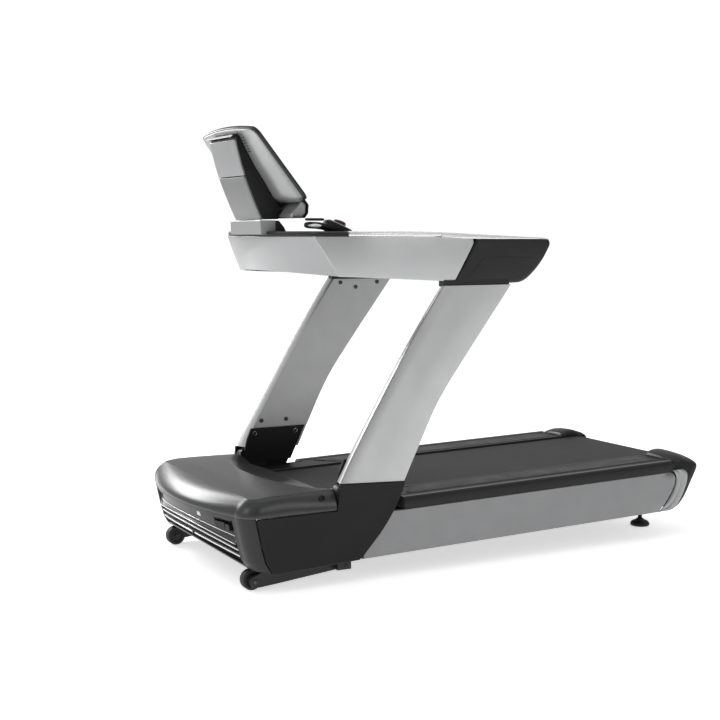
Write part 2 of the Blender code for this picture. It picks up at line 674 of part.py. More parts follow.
def dashboard():
    """Dished tray behind the cowl, with a raised rim and a bar for the stop button."""
    def outline(setback, half, rear, arms):
        pts = [(cowl_x(half * i / 6) + setback, half * i / 6) for i in range(-6, 7)]
        pts += arms
        pts += [(rear - 0.9 * y * y, y) for y in (0.24, 0.12, 0.0, -0.12, -0.24)]
        return pts + [(x, -y) for x, y in arms[::-1]]

    under = outline(0.034, 0.345, -0.3500, [(-0.580, 0.352), (-0.560, 0.352), (-0.440, 0.345)])
    rim = outline(0.006, 0.384, -0.3450, [(-0.576, 0.384), (-0.560, 0.352), (-0.436, 0.350)])
    loops = [[(x + (0.040 if x < -0.6 else -0.03), y * 0.93, 1.1400) for x, y in under],
             [(x, y, 1.1980) for x, y in under], [(x, y, 1.2165) for x, y in under],
             [(x, y, 1.2170) for x, y in rim], [(x, y, 1.2355) for x, y in rim]]
    tray = rings("dash_tray", loops, "black_plastic")
    dish = outline(0.034, 0.330, -0.4150, [(-0.590, 0.335), (-0.470, 0.325)])
    cut(tray, rings("dish_cutter", [[(x, y, z) for x, y in dish] for z in (1.2230, 1.30)],
                    "black_plastic"))
    cut(tray, box("post_seat", (-0.80, -0.64), (-BASE_HALF - 0.001, BASE_HALF + 0.001),
                  (1.2232, 1.30), "black_plastic"))
    collar = round_z("stop_collar", 0, 0, [0.034, 0.034, 0.031], [-0.020, 0.006, 0.009],
                     "black_plastic", 28, origin=(0, 0, 0))
    button = round_z("stop_button", 0, 0, [BUTTON_R - 0.002, BUTTON_R, BUTTON_R, BUTTON_R - 0.007],
                     [0.0135, 0.0165, 0.0260, 0.0330], "stop_red", 28, origin=(0, 0, 0))
    for piece in (collar, button):
        piece.location = (STOP_X, 0.0, STOP_Z)
        piece.rotation_euler = (0.0, math.radians(STOP_TILT), 0.0)
    merge_in(tray, collar)
    for tag, s in (("l", -1), ("r", 1)):
        pod(tag, s)


def pod(tag, s):
    """Thumb-control pod on a sloped foot, with a rocking key on top."""
    y = 0.300
    loops = []
    for x, w, zb, zt in ((-0.666, 0.012, 1.2500, 1.2620), (-0.655, 0.020, 1.2460, 1.2680),
                         (-0.620, 0.024, 1.2440, 1.2680), (-0.590, 0.024, 1.2400, 1.2680),
                         (-0.588, 0.024, 1.2380, 1.2780), (-0.575, 0.023, 1.2280, 1.2790),
                         (-0.530, 0.019, 1.2240, 1.2600), (-0.490, 0.015, 1.2240, 1.2420),
                         (-0.482, 0.012, 1.2240, 1.2340)):
        loops.append([(x, s * (y - w), mix(zb, zt, 0.30)), (x, s * (y - w * 0.6), zb),
                      (x, s * (y + w * 0.6), zb), (x, s * (y + w), mix(zb, zt, 0.30)),
                      (x, s * (y + w * 0.92), mix(zb, zt, 0.75)), (x, s * (y + w * 0.5), zt),
                      (x, s * (y - w * 0.5), zt), (x, s * (y - w * 0.92), mix(zb, zt, 0.75))])
    rings("control_pod_" + tag, loops, "charcoal_plastic")
    paddle = box("pod_paddle_" + tag, (-0.0340, 0.0340), (-0.0180, 0.0180), (0.0, 0.0095),
                 "charcoal_plastic")
    bevel(paddle, 0.003, 2)
    paddle.location = (PADDLE_X, s * y, 1.2720)


# ---- console ----------------------------------------------------------------------
def console():
    base = [(-0.7640, 1.2240), (-0.7660, 1.2745), (-0.688, 1.2745), (-0.668, 1.2480),
            (-0.672, 1.2240)]
    loops = [[(x, y, z) for x, z in base] for y in (-BASE_HALF, BASE_HALF)]
    rings("post_base", loops, "light_trim")

    def plate(name, pts, depth, y, kind):
        outline = [(x, z) for x, z in pts] + [(x + depth, z + 0.004) for x, z in pts[::-1]]
        return rings(name, [[(x, -y, z) for x, z in outline], [(x, y, z) for x, z in outline]], kind)
    plate("post_front_lower", [(-0.7560, 1.2760), (-0.7800, 1.3270), (-0.8030, 1.3800),
                               (-0.8228, 1.4310)], 0.010, POST_HALF, "silver_paint")
    plate("post_front_upper", [(-0.8233, 1.4326), (-0.8380, 1.4780), (-0.8500, 1.5230),
                               (-0.8590, 1.5580)], 0.010, POST_HALF, "silver_paint")
    (x0, z0), (x1, z1) = DISPLAY_LOW, DISPLAY_TOP
    length = math.hypot(x1 - x0, z1 - z0)
    tx, tz = (x1 - x0) / length, (z1 - z0) / length
    nx, nz = tz, -tx

    def slab_point(t, d):
        return x0 + tx * t - nx * d, z0 + tz * t - nz * d

    dome = [(0.004, 0.0540), (0.060, 0.0580), (0.130, 0.0480), (0.190, 0.0440),
            (0.250, 0.0340), (0.300, 0.0250), (length - 0.004, 0.0220)]
    core = [(-0.7440, 1.2790), (-0.7560, 1.3040), (-0.7765, 1.3500), (-0.7980, 1.4020),
            (-0.8120, 1.4380), (-0.8275, 1.4850), (-0.8400, 1.5350), (-0.8480, 1.5660),
            (-0.8660, 1.5680), (-0.8620, 1.5760), (-0.8440, 1.5790)]
    core += [slab_point(t, d + 0.0006) for t, d in dome[5:0:-1]]
    core += [(-0.6705, 1.3135), (-0.6900, 1.2930), (-0.6860, 1.2790)]
    loops = [[(x, y, z) for x, z in core] for y in (-POST_HALF, POST_HALF)]
    rings("post_core", loops, "black_plastic")

    def slices(name, stations, kind):
        """Skin sections taken across the display; each gives y, end inset and depths."""
        loops = []
        for y, inset, near, far in stations:
            top = length + 0.019 * (1 - (y / DISPLAY_HALF) ** 2) - inset
            ring = [(mix(0.002 + inset, top, k / 6), near) for k in range(7)]
            if far is None:
                ring += [(t if t < 0.31 else top - 0.003, d) for t, d in dome[::-1]]
            else:
                ring += [(p[0], far) for p in ring[::-1]]
            loops.append([(slab_point(t, d)[0], y, slab_point(t, d)[1]) for t, d in ring])
        return rings(name, loops, kind)

    side = [(DISPLAY_HALF - 0.001, 0.030), (DISPLAY_HALF - 0.010, 0.012), (0.228, 0.004)]
    screen = [(-y, i, 0.0, 0.0098) for y, i in side]
    screen += [(y, 0.0, 0.0, 0.0098) for y in (-0.15, -0.07, 0.0, 0.07, 0.15)]
    screen += [(y, i, 0.0, 0.0098) for y, i in side[::-1]]
    slices("display_screen", screen, "screen_glass")
    back = [(-DISPLAY_HALF + 0.001, 0.030, 0.0103, 0.0203), (-0.240, 0.012, 0.0103, 0.0215),
            (-0.228, 0.004, 0.0103, 0.0225), (-0.150, 0.002, 0.0103, None)]
    back += [(y, 0.002, 0.0103, None) for y in (-0.07, 0.0, 0.07)]
    back += [(-y, i, near, far) for y, i, near, far in back[3::-1]]
    slices("display_shell", back, "shell_plastic")
    chin = [slab_point(-0.0005, 0.001), slab_point(-0.0005, 0.0480), (-0.6795, 1.2935),
            (-0.6760, 1.2815), (-0.6250, 1.2820), (-0.6110, 1.2990), (-0.6090, 1.3300)]
    loops = [[(x, y, z) for x, z in chin] for y in (-0.215, 0.215)]
    rings("display_chin", loops, "charcoal_plastic")


# ---- lift, wheels and feet ---------------------------------------------------------
def running_gear():
    for tag, s in (("l", -1), ("r", 1)):
        outline = [(-0.926, 0.014), (-0.900, 0.014), (-0.845, 0.0185), (-0.620, 0.040),
                   (-0.560, 0.047), (-0.552, 0.066), (-0.560, 0.086), (-0.860, 0.078),
                   (-0.905, 0.060), (-0.930, 0.050), (-0.936, 0.036)]
        side = side_plate("lift_arm_" + tag, outline, s * 0.3960, s * 0.4160, "frame_steel",
                          origin=(PIVOT_X, 0, PIVOT_Z))
        axle = round_y("axle_stub_" + tag, WHEEL_X, WHEEL_R, [AXLE_R] * 2,
                       sorted((s * 0.352, s * 0.400)), "frame_steel", 16)
        pin = round_y("pivot_stub_" + tag, PIVOT_X, PIVOT_Z, [PIVOT_R] * 2,
                      sorted((s * 0.410, s * 0.4400)), "frame_steel", 24)
        merge_in(side, axle)
        merge_in(side, pin)
        ys = [WHEEL_IN, WHEEL_IN + 0.004, WHEEL_OUT - 0.004, WHEEL_OUT]
        if s < 0:
            ys = [-y for y in ys[::-1]]
        round_y("wheel_" + tag, WHEEL_X, WHEEL_R, [WHEEL_R - 0.004, WHEEL_R, WHEEL_R, WHEEL_R - 0.004],
                ys, "wheel_rubber", 36, bore=AXLE_R + GAP, origin=(WHEEL_X, s * 0.375, WHEEL_R))
        round_z("rear_foot_" + tag, FOOT_X, s * FOOT_Y,
                [0.030, FOOT_R, FOOT_R, 0.034, 0.016, FOOT_STEM_R, FOOT_STEM_R],
                [0.0, 0.004, 0.012, 0.022, 0.030, 0.034, 0.180], "wheel_rubber", 28,
                origin=(FOOT_X, s * FOOT_Y, 0.0))
    box("lift_tube", (-0.640, -0.600), (-0.3955, 0.3955), (0.050, 0.0770), "frame_steel",
        origin=(PIVOT_X, 0, PIVOT_Z))


hood()
front_panels()
belt_front_z, belt_rear_z = running_belt()
drive_gear(belt_front_z)
chassis()
for side_tag, side in (("l", -1), ("r", 1)):
    foot_rail(side_tag, side)
    side_panel(side_tag, side)
    rear_cap(side_tag, side)
    side_cover(side_tag, side)
    upright(side_tag, side)
    arm(side_tag, side)
cowl()
dashboard()
console()
running_gear()
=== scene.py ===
import math
import bpy
import bmesh
from mathutils import Vector, Matrix


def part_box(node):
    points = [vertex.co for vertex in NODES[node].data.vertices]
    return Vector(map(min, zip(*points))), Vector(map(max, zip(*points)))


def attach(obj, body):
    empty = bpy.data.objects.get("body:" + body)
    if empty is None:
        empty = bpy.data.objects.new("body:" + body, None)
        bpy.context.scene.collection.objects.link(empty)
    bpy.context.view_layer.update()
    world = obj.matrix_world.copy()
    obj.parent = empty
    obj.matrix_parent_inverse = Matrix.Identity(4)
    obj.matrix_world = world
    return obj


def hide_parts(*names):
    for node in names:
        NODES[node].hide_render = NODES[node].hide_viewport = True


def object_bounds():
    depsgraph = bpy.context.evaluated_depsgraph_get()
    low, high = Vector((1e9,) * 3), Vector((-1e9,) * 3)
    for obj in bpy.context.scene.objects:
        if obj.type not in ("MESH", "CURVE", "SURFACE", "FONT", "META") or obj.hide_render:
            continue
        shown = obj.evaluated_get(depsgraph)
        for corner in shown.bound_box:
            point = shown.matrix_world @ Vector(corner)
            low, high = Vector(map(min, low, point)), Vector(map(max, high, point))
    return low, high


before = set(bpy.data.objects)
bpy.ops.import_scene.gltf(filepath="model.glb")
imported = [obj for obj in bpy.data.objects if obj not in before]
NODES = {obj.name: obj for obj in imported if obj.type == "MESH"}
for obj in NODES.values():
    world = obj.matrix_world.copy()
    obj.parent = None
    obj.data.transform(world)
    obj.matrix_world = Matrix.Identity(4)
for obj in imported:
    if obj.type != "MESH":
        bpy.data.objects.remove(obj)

CAD_LOW, CAD_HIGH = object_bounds()
SCENE = bpy.context.scene

# ---- driving dimensions, in metres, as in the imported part
FRONT_X = CAD_LOW.x              # tip of the nose
BOW = 0.43                       # forward bow of the nose in plan
CORNER_Y = 0.4                   # where the nose's face turns into the side
CORNER_X, CORNER_SIDE = -0.915, 0.47    # where that turn ends
DECK_RISE = 0.0215               # slope of the deck, front to rear
FASCIA_TOP, FASCIA_LOW = 0.265, 0.0755
FASCIA_ARCH = 0.049              # rise of the fascia's lower edge at its middle
ZONE_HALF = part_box("front_grille")[1].y  # half width of the recessed zone
SOCKET_Y, SOCKET_Z = 0.322, 0.2225
SOCKET_REACH = 0.05              # half width of a socket's opening
SOCKET_LOW, SOCKET_HIGH = 0.2075, 0.2375
HOOD_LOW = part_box("hood")[0].z
POST_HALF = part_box("post_core")[1].y
DISPLAY_HALF = 0.249
DISPLAY_LOW, DISPLAY_TOP = (-0.623, 1.349), (-0.825, 1.597)
FRONT_INSIDE = (-0.5, 0, 0.18)   # a point behind the front's skins
SIDES = (("l", -1), ("r", 1))


# ---- camera, light and floor
CAMERA_PLACE = (-2.666, -4.437, 1.23)
CAMERA_AZIMUTH, CAMERA_DOWN = math.radians(-28.214), math.radians(5.592)
LENS, SENSOR = 65.0, 36.0
WHITE = (1.0, 1.0, 1.0, 1.0)
# name: place, target, width, height, power
LIGHTS = {
    "front_box": ((-4.4, -1.4, 2.9), (-0.7, 0.0, 0.4), 2.4, 2.0, 24),
    "top_box": ((0.3, 0.2, 4.0), (0.1, 0.0, 0.4), 3.0, 2.0, 22),
    "side_box": ((1.6, -4.8, 2.6), (0.2, 0.0, 0.6), 2.2, 1.8, 22),
    "back_box": ((-2.0, 4.6, 2.7), (-0.9, 0.0, 0.3), 3.0, 1.2, 150),
}


def add_object(name, data):
    obj = bpy.data.objects.new(name, data)
    SCENE.collection.objects.link(obj)
    return obj


def camera():
    data = bpy.data.cameras.new("camera")
    data.lens = LENS
    data.sensor_width = SENSOR
    data.clip_end = 60.0
    across, down = CAMERA_AZIMUTH, CAMERA_DOWN
    back = Vector((math.sin(across) * math.cos(down), -math.cos(across) * math.cos(down),
                   math.sin(down)))
    right = Vector((math.cos(across), math.sin(across), 0.0))
    turn = Matrix((right, back.cross(right), back)).transposed().to_4x4()
    cam = add_object("camera", data)
    cam.matrix_world = Matrix.Translation(CAMERA_PLACE) @ turn
    SCENE.camera = cam


def add_node(tree, kind, values=None, **options):
    """Add a shader node: values go to its sockets, options to the node itself."""
    node = tree.nodes.new("ShaderNode" + kind)
    for key, value in options.items():
        setattr(node, key, value)
    for key, value in (values or {}).items():
        node.inputs[key].default_value = value
    return node


def sky():
    """Sky that darkens towards the viewer's side and the ground; the camera sees white."""
    world = bpy.data.worlds.new("studio")
    world.use_nodes = True
    tree = world.node_tree
    link = tree.links.new
    coords = add_node(tree, "TexCoord")
    dot = add_node(tree, "VectorMath", operation="DOT_PRODUCT")
    dot.inputs[1].default_value = Vector((-0.1, 0.75, 0.62)).normalized()
    link(coords.outputs["Generated"], dot.inputs[0])
    shift = add_node(tree, "MapRange", {"From Min": -1.0, "From Max": 1.0})
    link(dot.outputs["Value"], shift.inputs["Value"])
    ramp = add_node(tree, "ValToRGB")
    for stop, place, grey in zip(ramp.color_ramp.elements, (0.22, 0.62), (0.05, 0.55)):
        stop.position = place
        stop.color = (grey, grey, grey, 1.0)
    link(shift.outputs["Result"], ramp.inputs["Fac"])
    light = tree.nodes["Background"]
    link(ramp.outputs["Color"], light.inputs["Color"])
    backdrop = add_node(tree, "Background", {"Color": WHITE, "Strength": 1.05})
    path = add_node(tree, "LightPath")
    choose = add_node(tree, "MixShader")
    link(path.outputs["Is Camera Ray"], choose.inputs["Fac"])
    link(light.outputs["Background"], choose.inputs[1])
    link(backdrop.outputs["Background"], choose.inputs[2])
    link(choose.outputs["Shader"], tree.nodes["World Output"].inputs["Surface"])
    SCENE.world = world


def studio():
    SCENE.view_settings.view_transform = "Standard"
    sky()
    for name, (place, target, width, height, power) in LIGHTS.items():
        data = bpy.data.lights.new(name, "AREA")
        data.energy = power
        data.shape = "RECTANGLE"
        data.size = width
        data.size_y = height
        lamp = add_object(name, data)
        lamp.location = place
        aim = Vector(target) - Vector(place)
        lamp.rotation_euler = aim.to_track_quat("-Z", "Y").to_euler()
    bm = bmesh.new()
    bmesh.ops.create_grid(bm, x_segments=2, y_segments=2, size=20.0)
    mesh = bpy.data.meshes.new("floor")
    bm.to_mesh(mesh)
    bm.free()
    floor = add_object("floor", mesh)
    floor.location.z = -0.0005
    mat = bpy.data.materials.new("floor_white")
    mat.use_nodes = True
    shader = mat.node_tree.nodes["Principled BSDF"]
    for key, value in (("Base Color", (0.95, 0.95, 0.95, 1.0)), ("Roughness", 0.95),
                       ("Emission Color", WHITE), ("Emission Strength", 0.62)):
        shader.inputs[key].default_value = value
    mesh.materials.append(mat)


# ---- materials
def from_noise(tree, noise, low, high):
    """Stretch a noise's middle range over low to high."""
    ranged = add_node(tree, "MapRange", {"From Min": 0.3, "From Max": 0.7, "To Min": low,
                                         "To Max": high})
    tree.links.new(noise.outputs["Fac"], ranged.inputs["Value"])
    return ranged.outputs["Result"]


def surface(name, colour, rough, metal=0.0, grain=900.0, bump=0.15, vary=0.1, rough_vary=0.06,
            coat=0.0, stretch=(1, 1, 1), large=14.0, wear=0.0, weave=0.0, spec=0.5):
    """Principled surface with fine grain, soft mottling, uneven gloss and worn edges."""
    mat = bpy.data.materials.new(name)
    mat.use_nodes = True
    tree = mat.node_tree
    link = tree.links.new
    shader = tree.nodes["Principled BSDF"]
    for key, value in (("Metallic", metal), ("Coat Weight", coat),
                       ("Specular IOR Level", spec), ("Coat Roughness", 0.12)):
        shader.inputs[key].default_value = value
    coords = add_node(tree, "TexCoord").outputs["Object"]
    mapping = add_node(tree, "Mapping", {"Scale": stretch})
    link(coords, mapping.inputs["Vector"])
    fine = add_node(tree, "TexNoise", {"Scale": grain, "Detail": 3.0})
    link(mapping.outputs["Vector"], fine.inputs["Vector"])
    soft = add_node(tree, "TexNoise", {"Scale": large, "Detail": 4.0})
    link(coords, soft.inputs["Vector"])
    shade = add_node(tree, "VectorMath", operation="SCALE")
    shade.inputs[0].default_value = colour
    link(from_noise(tree, soft, 1.0 - vary, 1.0 + vary), shade.inputs["Scale"])
    base = shade.outputs["Vector"]
    if wear:
        edge = add_node(tree, "NewGeometry")
        rub = add_node(tree, "MapRange", {"From Min": 0.52, "From Max": 0.6, "To Max": wear})
        link(edge.outputs["Pointiness"], rub.inputs["Value"])
        worn = (*(min(1.0, c * 1.8 + 0.03) for c in colour), 1.0)
        blend = add_node(tree, "Mix", {"B": worn}, data_type="RGBA")
        link(rub.outputs["Result"], blend.inputs["Factor"])
        link(base, blend.inputs["A"])
        base = blend.outputs["Result"]
    link(base, shader.inputs["Base Color"])
    link(from_noise(tree, fine, rough - rough_vary, rough + rough_vary),
         shader.inputs["Roughness"])
    relief = add_node(tree, "Bump", {"Strength": bump, "Distance": 0.0004})
    height = fine.outputs["Fac"]
    if weave:
        turned = add_node(tree, "Mapping", {"Rotation": (0.0, 0.0, math.radians(45))})
        link(coords, turned.inputs["Vector"])
        cross = add_node(tree, "Math", operation="MULTIPLY")
        for i, axis in enumerate("XY"):
            wave = add_node(tree, "TexWave", {"Scale": weave}, bands_direction=axis)
            link(turned.outputs["Vector"], wave.inputs["Vector"])
            link(wave.outputs["Fac"], cross.inputs[i])
        height = cross.outputs["Value"]
    link(height, relief.inputs["Height"])
    link(relief.outputs["Normal"], shader.inputs["Normal"])
    return mat


MATS = {
    "charcoal": surface("charcoal_moulded", (0.014, 0.014, 0.015), 0.36, grain=1400, bump=0.1,
                        wear=0.5, spec=0.38),
    "hood": surface("hood_moulded", (0.06, 0.0605, 0.062), 0.3, metal=0.45, grain=1600, bump=0.06,
                    vary=0.05, wear=0.3),
    "black": surface("black_moulded", (0.004, 0.004, 0.0045), 0.4, grain=1200, bump=0.15,
                     wear=0.4, spec=0.3),
    "cover": surface("cover_moulded", (0.006, 0.006, 0.0065), 0.34, grain=1500, bump=0.1, wear=0.5,
                     spec=0.22),
    "rail": surface("rail_moulded", (0.005, 0.005, 0.0055), 0.42, grain=900, bump=0.25, wear=0.4,
                    spec=0.28),
    "strip": surface("step_strip", (0.13, 0.13, 0.132), 0.6, grain=420, bump=0.8, vary=0.25,
                     weave=140),
    "post": surface("post_painted", (0.28, 0.283, 0.287), 0.36, metal=0.5, grain=2600, bump=0.03,
                    vary=0.02, coat=0.1),
    "post_low": surface("post_low_painted", (0.13, 0.132, 0.135), 0.38, metal=0.5, grain=2600,
                        bump=0.03, vary=0.03, coat=0.1),
    "base": surface("base_satin", (0.36, 0.363, 0.367), 0.34, metal=0.6, grain=2200, bump=0.03,
                    vary=0.02),
    # the arm panels' silver paint, darkened for the cowl where it catches more light: painted
    # shade
    "cowl": surface("cowl_silver_painted_shade", (0.33, 0.333, 0.337), 0.34, metal=0.6, grain=2600, bump=0.03,
                    vary=0.02, coat=0.2),
    "accent": surface("accent_satin", (0.34, 0.343, 0.347), 0.34, metal=0.55, grain=2200,
                      bump=0.03, vary=0.02),
    "silver": surface("silver_painted", (0.58, 0.585, 0.59), 0.34, metal=0.6, grain=2600,
                      bump=0.03, vary=0.015, coat=0.2),
    "panel": surface("panel_anodised", (0.26, 0.262, 0.266), 0.42, metal=0.8, grain=900, bump=0.05,
                     vary=0.03, stretch=(0.02, 1, 1)),
    "trim": surface("trim_bright", (0.84, 0.845, 0.85), 0.28, metal=0.5, grain=900, bump=0.02,
                    vary=0.02, stretch=(0.03, 1, 1)),
    "blade": surface("blade_satin", (0.5, 0.503, 0.507), 0.38, metal=0.75, grain=800, bump=0.05,
                     vary=0.03, stretch=(1, 1, 0.03)),
    "belt": surface("belt_weave", (0.02, 0.02, 0.021), 0.62, grain=700, bump=1.0, weave=110,
                    vary=0.16, large=5.0),
    "steel": surface("painted_steel", (0.02, 0.02, 0.022), 0.42, metal=0.3, grain=500, bump=0.12,
                     wear=0.5),
    "bright": surface("turned_steel", (0.55, 0.55, 0.56), 0.26, metal=1.0, grain=700, bump=0.05,
                      stretch=(1, 0.02, 1)),
    "bolt": surface("black_zinc_bolt", (0.1, 0.1, 0.1), 0.3, metal=0.9, grain=900, bump=0.04),
    "rubber": surface("black_rubber", (0.012, 0.012, 0.012), 0.6, grain=900, bump=0.3),
    "wood": surface("deck_laminate", (0.2, 0.15, 0.1), 0.5, grain=120, bump=0.1,
                    stretch=(0.05, 1, 1)),
    "shell": surface("shell_painted", (0.36, 0.363, 0.366), 0.36, metal=0.5, grain=1500, bump=0.06,
                     vary=0.03),
    "bezel": surface("bezel_satin", (0.03, 0.03, 0.031), 0.34, metal=0.2, grain=1500, bump=0.06),
    "screen": surface("screen_gloss", (0.008, 0.009, 0.01), 0.09, grain=60, bump=0.01,
                      rough_vary=0.02, coat=0.6),
    "stop": surface("stop_cap", (0.055, 0.012, 0.012), 0.3, grain=900, bump=0.05, wear=0.3),
    "label": surface("blank_label", (0.7, 0.7, 0.69), 0.5, grain=900, bump=0.02, vary=0.03),
}
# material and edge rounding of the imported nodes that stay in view
NODE_LOOKS = {
    "power_inlet": ("black", 0.0012), "power_rocker": ("black", 0), "running_belt": ("belt", 0),
    "front_roller": ("bright", 0), "rear_roller": ("bright", 0), "motor_pulley": ("bright", 0),
    "drive_motor": ("steel", 0.003), "drive_belt": ("rubber", 0), "frame_rail": ("steel", 0.002),
    "cross_front": ("steel", 0.002), "cross_rear": ("steel", 0.002),
    "deck_board": ("wood", 0.002), "side_cover": ("cover", 0.0008),
    "blade_bracket": ("black", 0.0015), "arm_core": ("black", 0.002),
    "post_core": ("black", 0.003), "lift_arm": ("steel", 0.002), "lift_tube": ("steel", 0.002),
}
WELD = 0.00002


def repaint():
    """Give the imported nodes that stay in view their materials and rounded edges."""
    for name, obj in NODES.items():
        base = name[:-2] if name[-2:] in ("_l", "_r") else name
        if base not in NODE_LOOKS:
            continue
        mat, edge = NODE_LOOKS[base]
        obj.data.materials.clear()
        obj.data.materials.append(MATS[mat])
        if edge or name == "running_belt":
            obj.modifiers.new("weld", "WELD").merge_threshold = WELD
        if edge:
            round_edges(obj, edge, 3, 40)


def round_edges(obj, width, segments, limit):
    edge = obj.modifiers.new("edge", "BEVEL")
    edge.width = width
    edge.segments = segments
    edge.limit_method = "ANGLE"
    edge.angle_limit = math.radians(limit)
    edge.use_clamp_overlap = True
    obj.modifiers.new("even", "WEIGHTED_NORMAL").keep_sharp = True


# ---- mesh helpers
def mix(a, b, t):
    return a + (b - a) * t


def ease(t):
    t = max(0.0, min(1.0, t))
    return t * t * (3 - 2 * t)


def along(table, x):
    """Read a curve given as rising (x, value) points."""
    for (xa, va), (xb, vb) in zip(table, table[1:]):
        if x <= xb:
            return mix(va, vb, max(0.0, (x - xa) / (xb - xa)))
    return table[-1][1]


def smooth_line(points, count):
    """Points spaced along a Catmull-Rom curve through the given ones."""
    pts = [Vector(p) for p in points]
    pts = [2 * pts[0] - pts[1]] + pts + [2 * pts[-1] - pts[-2]]
    out = []
    for i in range(count):
        u = (len(pts) - 3) * i / (count - 1)
        k = min(int(u), len(pts) - 4)
        t = u - k
        a, b, c, d = pts[k:k + 4]
        out.append(0.5 * ((2 * b) + (c - a) * t + (2 * a - 5 * b + 4 * c - d) * t * t
                          + (3 * b - a - 3 * c + d) * t ** 3))
    return out


def deck_z(x, w):
    return w + DECK_RISE * x


def piece(name, bm, mat, body="frame", stands=(), edge=0.0, segs=3, limit=30,
          thick=0.0, away=None):
    """Finish a bmesh as one visible piece that rides on a body.

    thick gives an open sheet its wall, laid inwards from the side that faces away
    from the point `away`.
    """
    bmesh.ops.remove_doubles(bm, verts=bm.verts, dist=0.00003)
    bmesh.ops.recalc_face_normals(bm, faces=bm.faces)
    if away is not None:
        lean = sum(f.normal.dot(f.calc_center_median() - Vector(away)) * f.calc_area()
                   for f in bm.faces)
        if lean < 0:
            bmesh.ops.reverse_faces(bm, faces=bm.faces)
    mesh = bpy.data.meshes.new(name)
    bm.to_mesh(mesh)
    bm.free()
    mesh.shade_smooth()
    mesh.set_sharp_from_angle(angle=math.radians(limit))
    obj = add_object(name, mesh)
    mesh.materials.append(MATS[mat])
    if thick:
        wall = obj.modifiers.new("wall", "SOLIDIFY")
        wall.thickness = thick
        wall.offset = -1.0
    if edge:
        round_edges(obj, edge, segs, limit)
    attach(obj, body)
    if stands:
        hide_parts(*stands)
    return obj


def sheet_bm(rows, bm=None, skip=None):
    """Skin rows of points; a face whose skip(row, column) is true is left out."""
    bm = bm or bmesh.new()
    grid = [[bm.verts.new(p) for p in row] for row in rows]
    for k, (a, b) in enumerate(zip(grid, grid[1:])):
        for i in range(len(a) - 1):
            if not (skip and skip(k, i)):
                bm.faces.new((a[i], a[i + 1], b[i + 1], b[i]))
    return bm


def round_line(count, power=1.0):
    """Directions round a circle, squared off by a power below 1, as (across, up)."""
    out = []
    for i in range(count):
        a = 2 * math.pi * i / count
        c, d = math.cos(a), math.sin(a)
        out.append((math.copysign(abs(c) ** power, c), math.copysign(abs(d) ** power, d)))
    return out


def loft_bm(loops, closed=False, bm=None):
    """Skin closed rings; the ends get caps unless the rings themselves join up."""
    bm = bm or bmesh.new()
    grid = [[bm.verts.new(p) for p in loop] for loop in loops]
    n = len(grid[0])
    for a, b in list(zip(grid, grid[1:])) + ([(grid[-1], grid[0])] if closed else []):
        for i in range(n):
            j = (i + 1) % n
            bm.faces.new((a[i], a[j], b[j], b[i]))
    if not closed:
        bm.faces.new(grid[0][::-1])
        bm.faces.new(grid[-1])
    return bm


def turned_bm(profile, origin, axis, count):
    """Turn a profile of (radius, distance along the axis) into a closed body."""
    axis = Vector(axis).normalized()
    side = axis.orthogonal().normalized()
    other = axis.cross(side)
    origin = Vector(origin)
    return loft_bm([[origin + axis * h + (side * c + other * d) * r
                     for c, d in round_line(count)] for r, h in profile])


def tube_bm(points, radius, sides=8, closed=False, flat=1.0, bm=None):
    """Round or flattened bar along a line of points."""
    pts = [Vector(p) for p in points]
    loops = []
    n = len(pts)
    for i, p in enumerate(pts):
        a = pts[i - 1] if (i or closed) else pts[0]
        b = pts[(i + 1) % n] if (i < n - 1 or closed) else pts[-1]
        run = (b - a).normalized()
        across = run.cross(Vector((0, 0, 1)))
        across = across.normalized() if across.length > 1e-4 else Vector((0, 1, 0))
        rise = across.cross(run)
        loops.append([p + across * radius * c + rise * radius * flat * d
                      for c, d in round_line(sides)])
    return loft_bm(loops, closed, bm)


def screw(name, place, axis, radius, body="frame", mat="bolt"):
    """Button-head socket screw with a hollow centre."""
    r = radius
    bm = turned_bm([(r * 0.98, -0.001), (r, r * 0.18), (r * 0.92, r * 0.42), (r * 0.66, r * 0.6),
                    (r * 0.46, r * 0.62), (r * 0.42, r * 0.16), (r * 0.05, r * 0.14)],
                   place, axis, 24)
    return piece(name, bm, mat, body, limit=40)


# ---- hood
BAND_TURN = 60.0                 # how far the band curls over before the crease
CREASE_HALF, HOOD_REAR_HALF = 0.4375, 0.418
HOOD_REAR = [(0.0, -0.583), (0.28, -0.583), (0.32, -0.59), (0.345, -0.596), (0.375, -0.608),
             (0.405, -0.619)]


def nose_at(y):
    return FRONT_X + BOW * y * y


def plan_pairs():
    """Outline point and matching crease point from the nose's middle to the side's rear."""
    pairs = []
    for i in range(25):
        y = CORNER_Y * i / 24
        inner = 0.405 * i / 24
        pairs.append(((nose_at(y), y), (-0.957 + 0.1 * inner * inner, inner)))
    (x0, y0), (x1, y1) = pairs[-1]
    for i in range(1, 13):
        a = math.radians(7.5 * i)
        lean, swing = 1 - math.cos(a), math.sin(a)
        pairs.append(((mix(x0, CORNER_X, lean), mix(y0, CORNER_SIDE, swing)),
                      (mix(x1, -0.905, lean), mix(y1, CREASE_HALF, swing))))
    for i in range(1, 17):
        t = i / 16
        x = mix(-0.905, -0.62, t)
        outer = (mix(CORNER_X, -0.628, t), mix(CORNER_SIDE, 0.469, t))
        pairs.append((outer, (x, crease_y(x))))
    return pairs


def crease_y(x):
    return along([(-0.921, 0.4365), (-0.81, 0.444), (-0.7, 0.433), (-0.62, 0.418)], x)


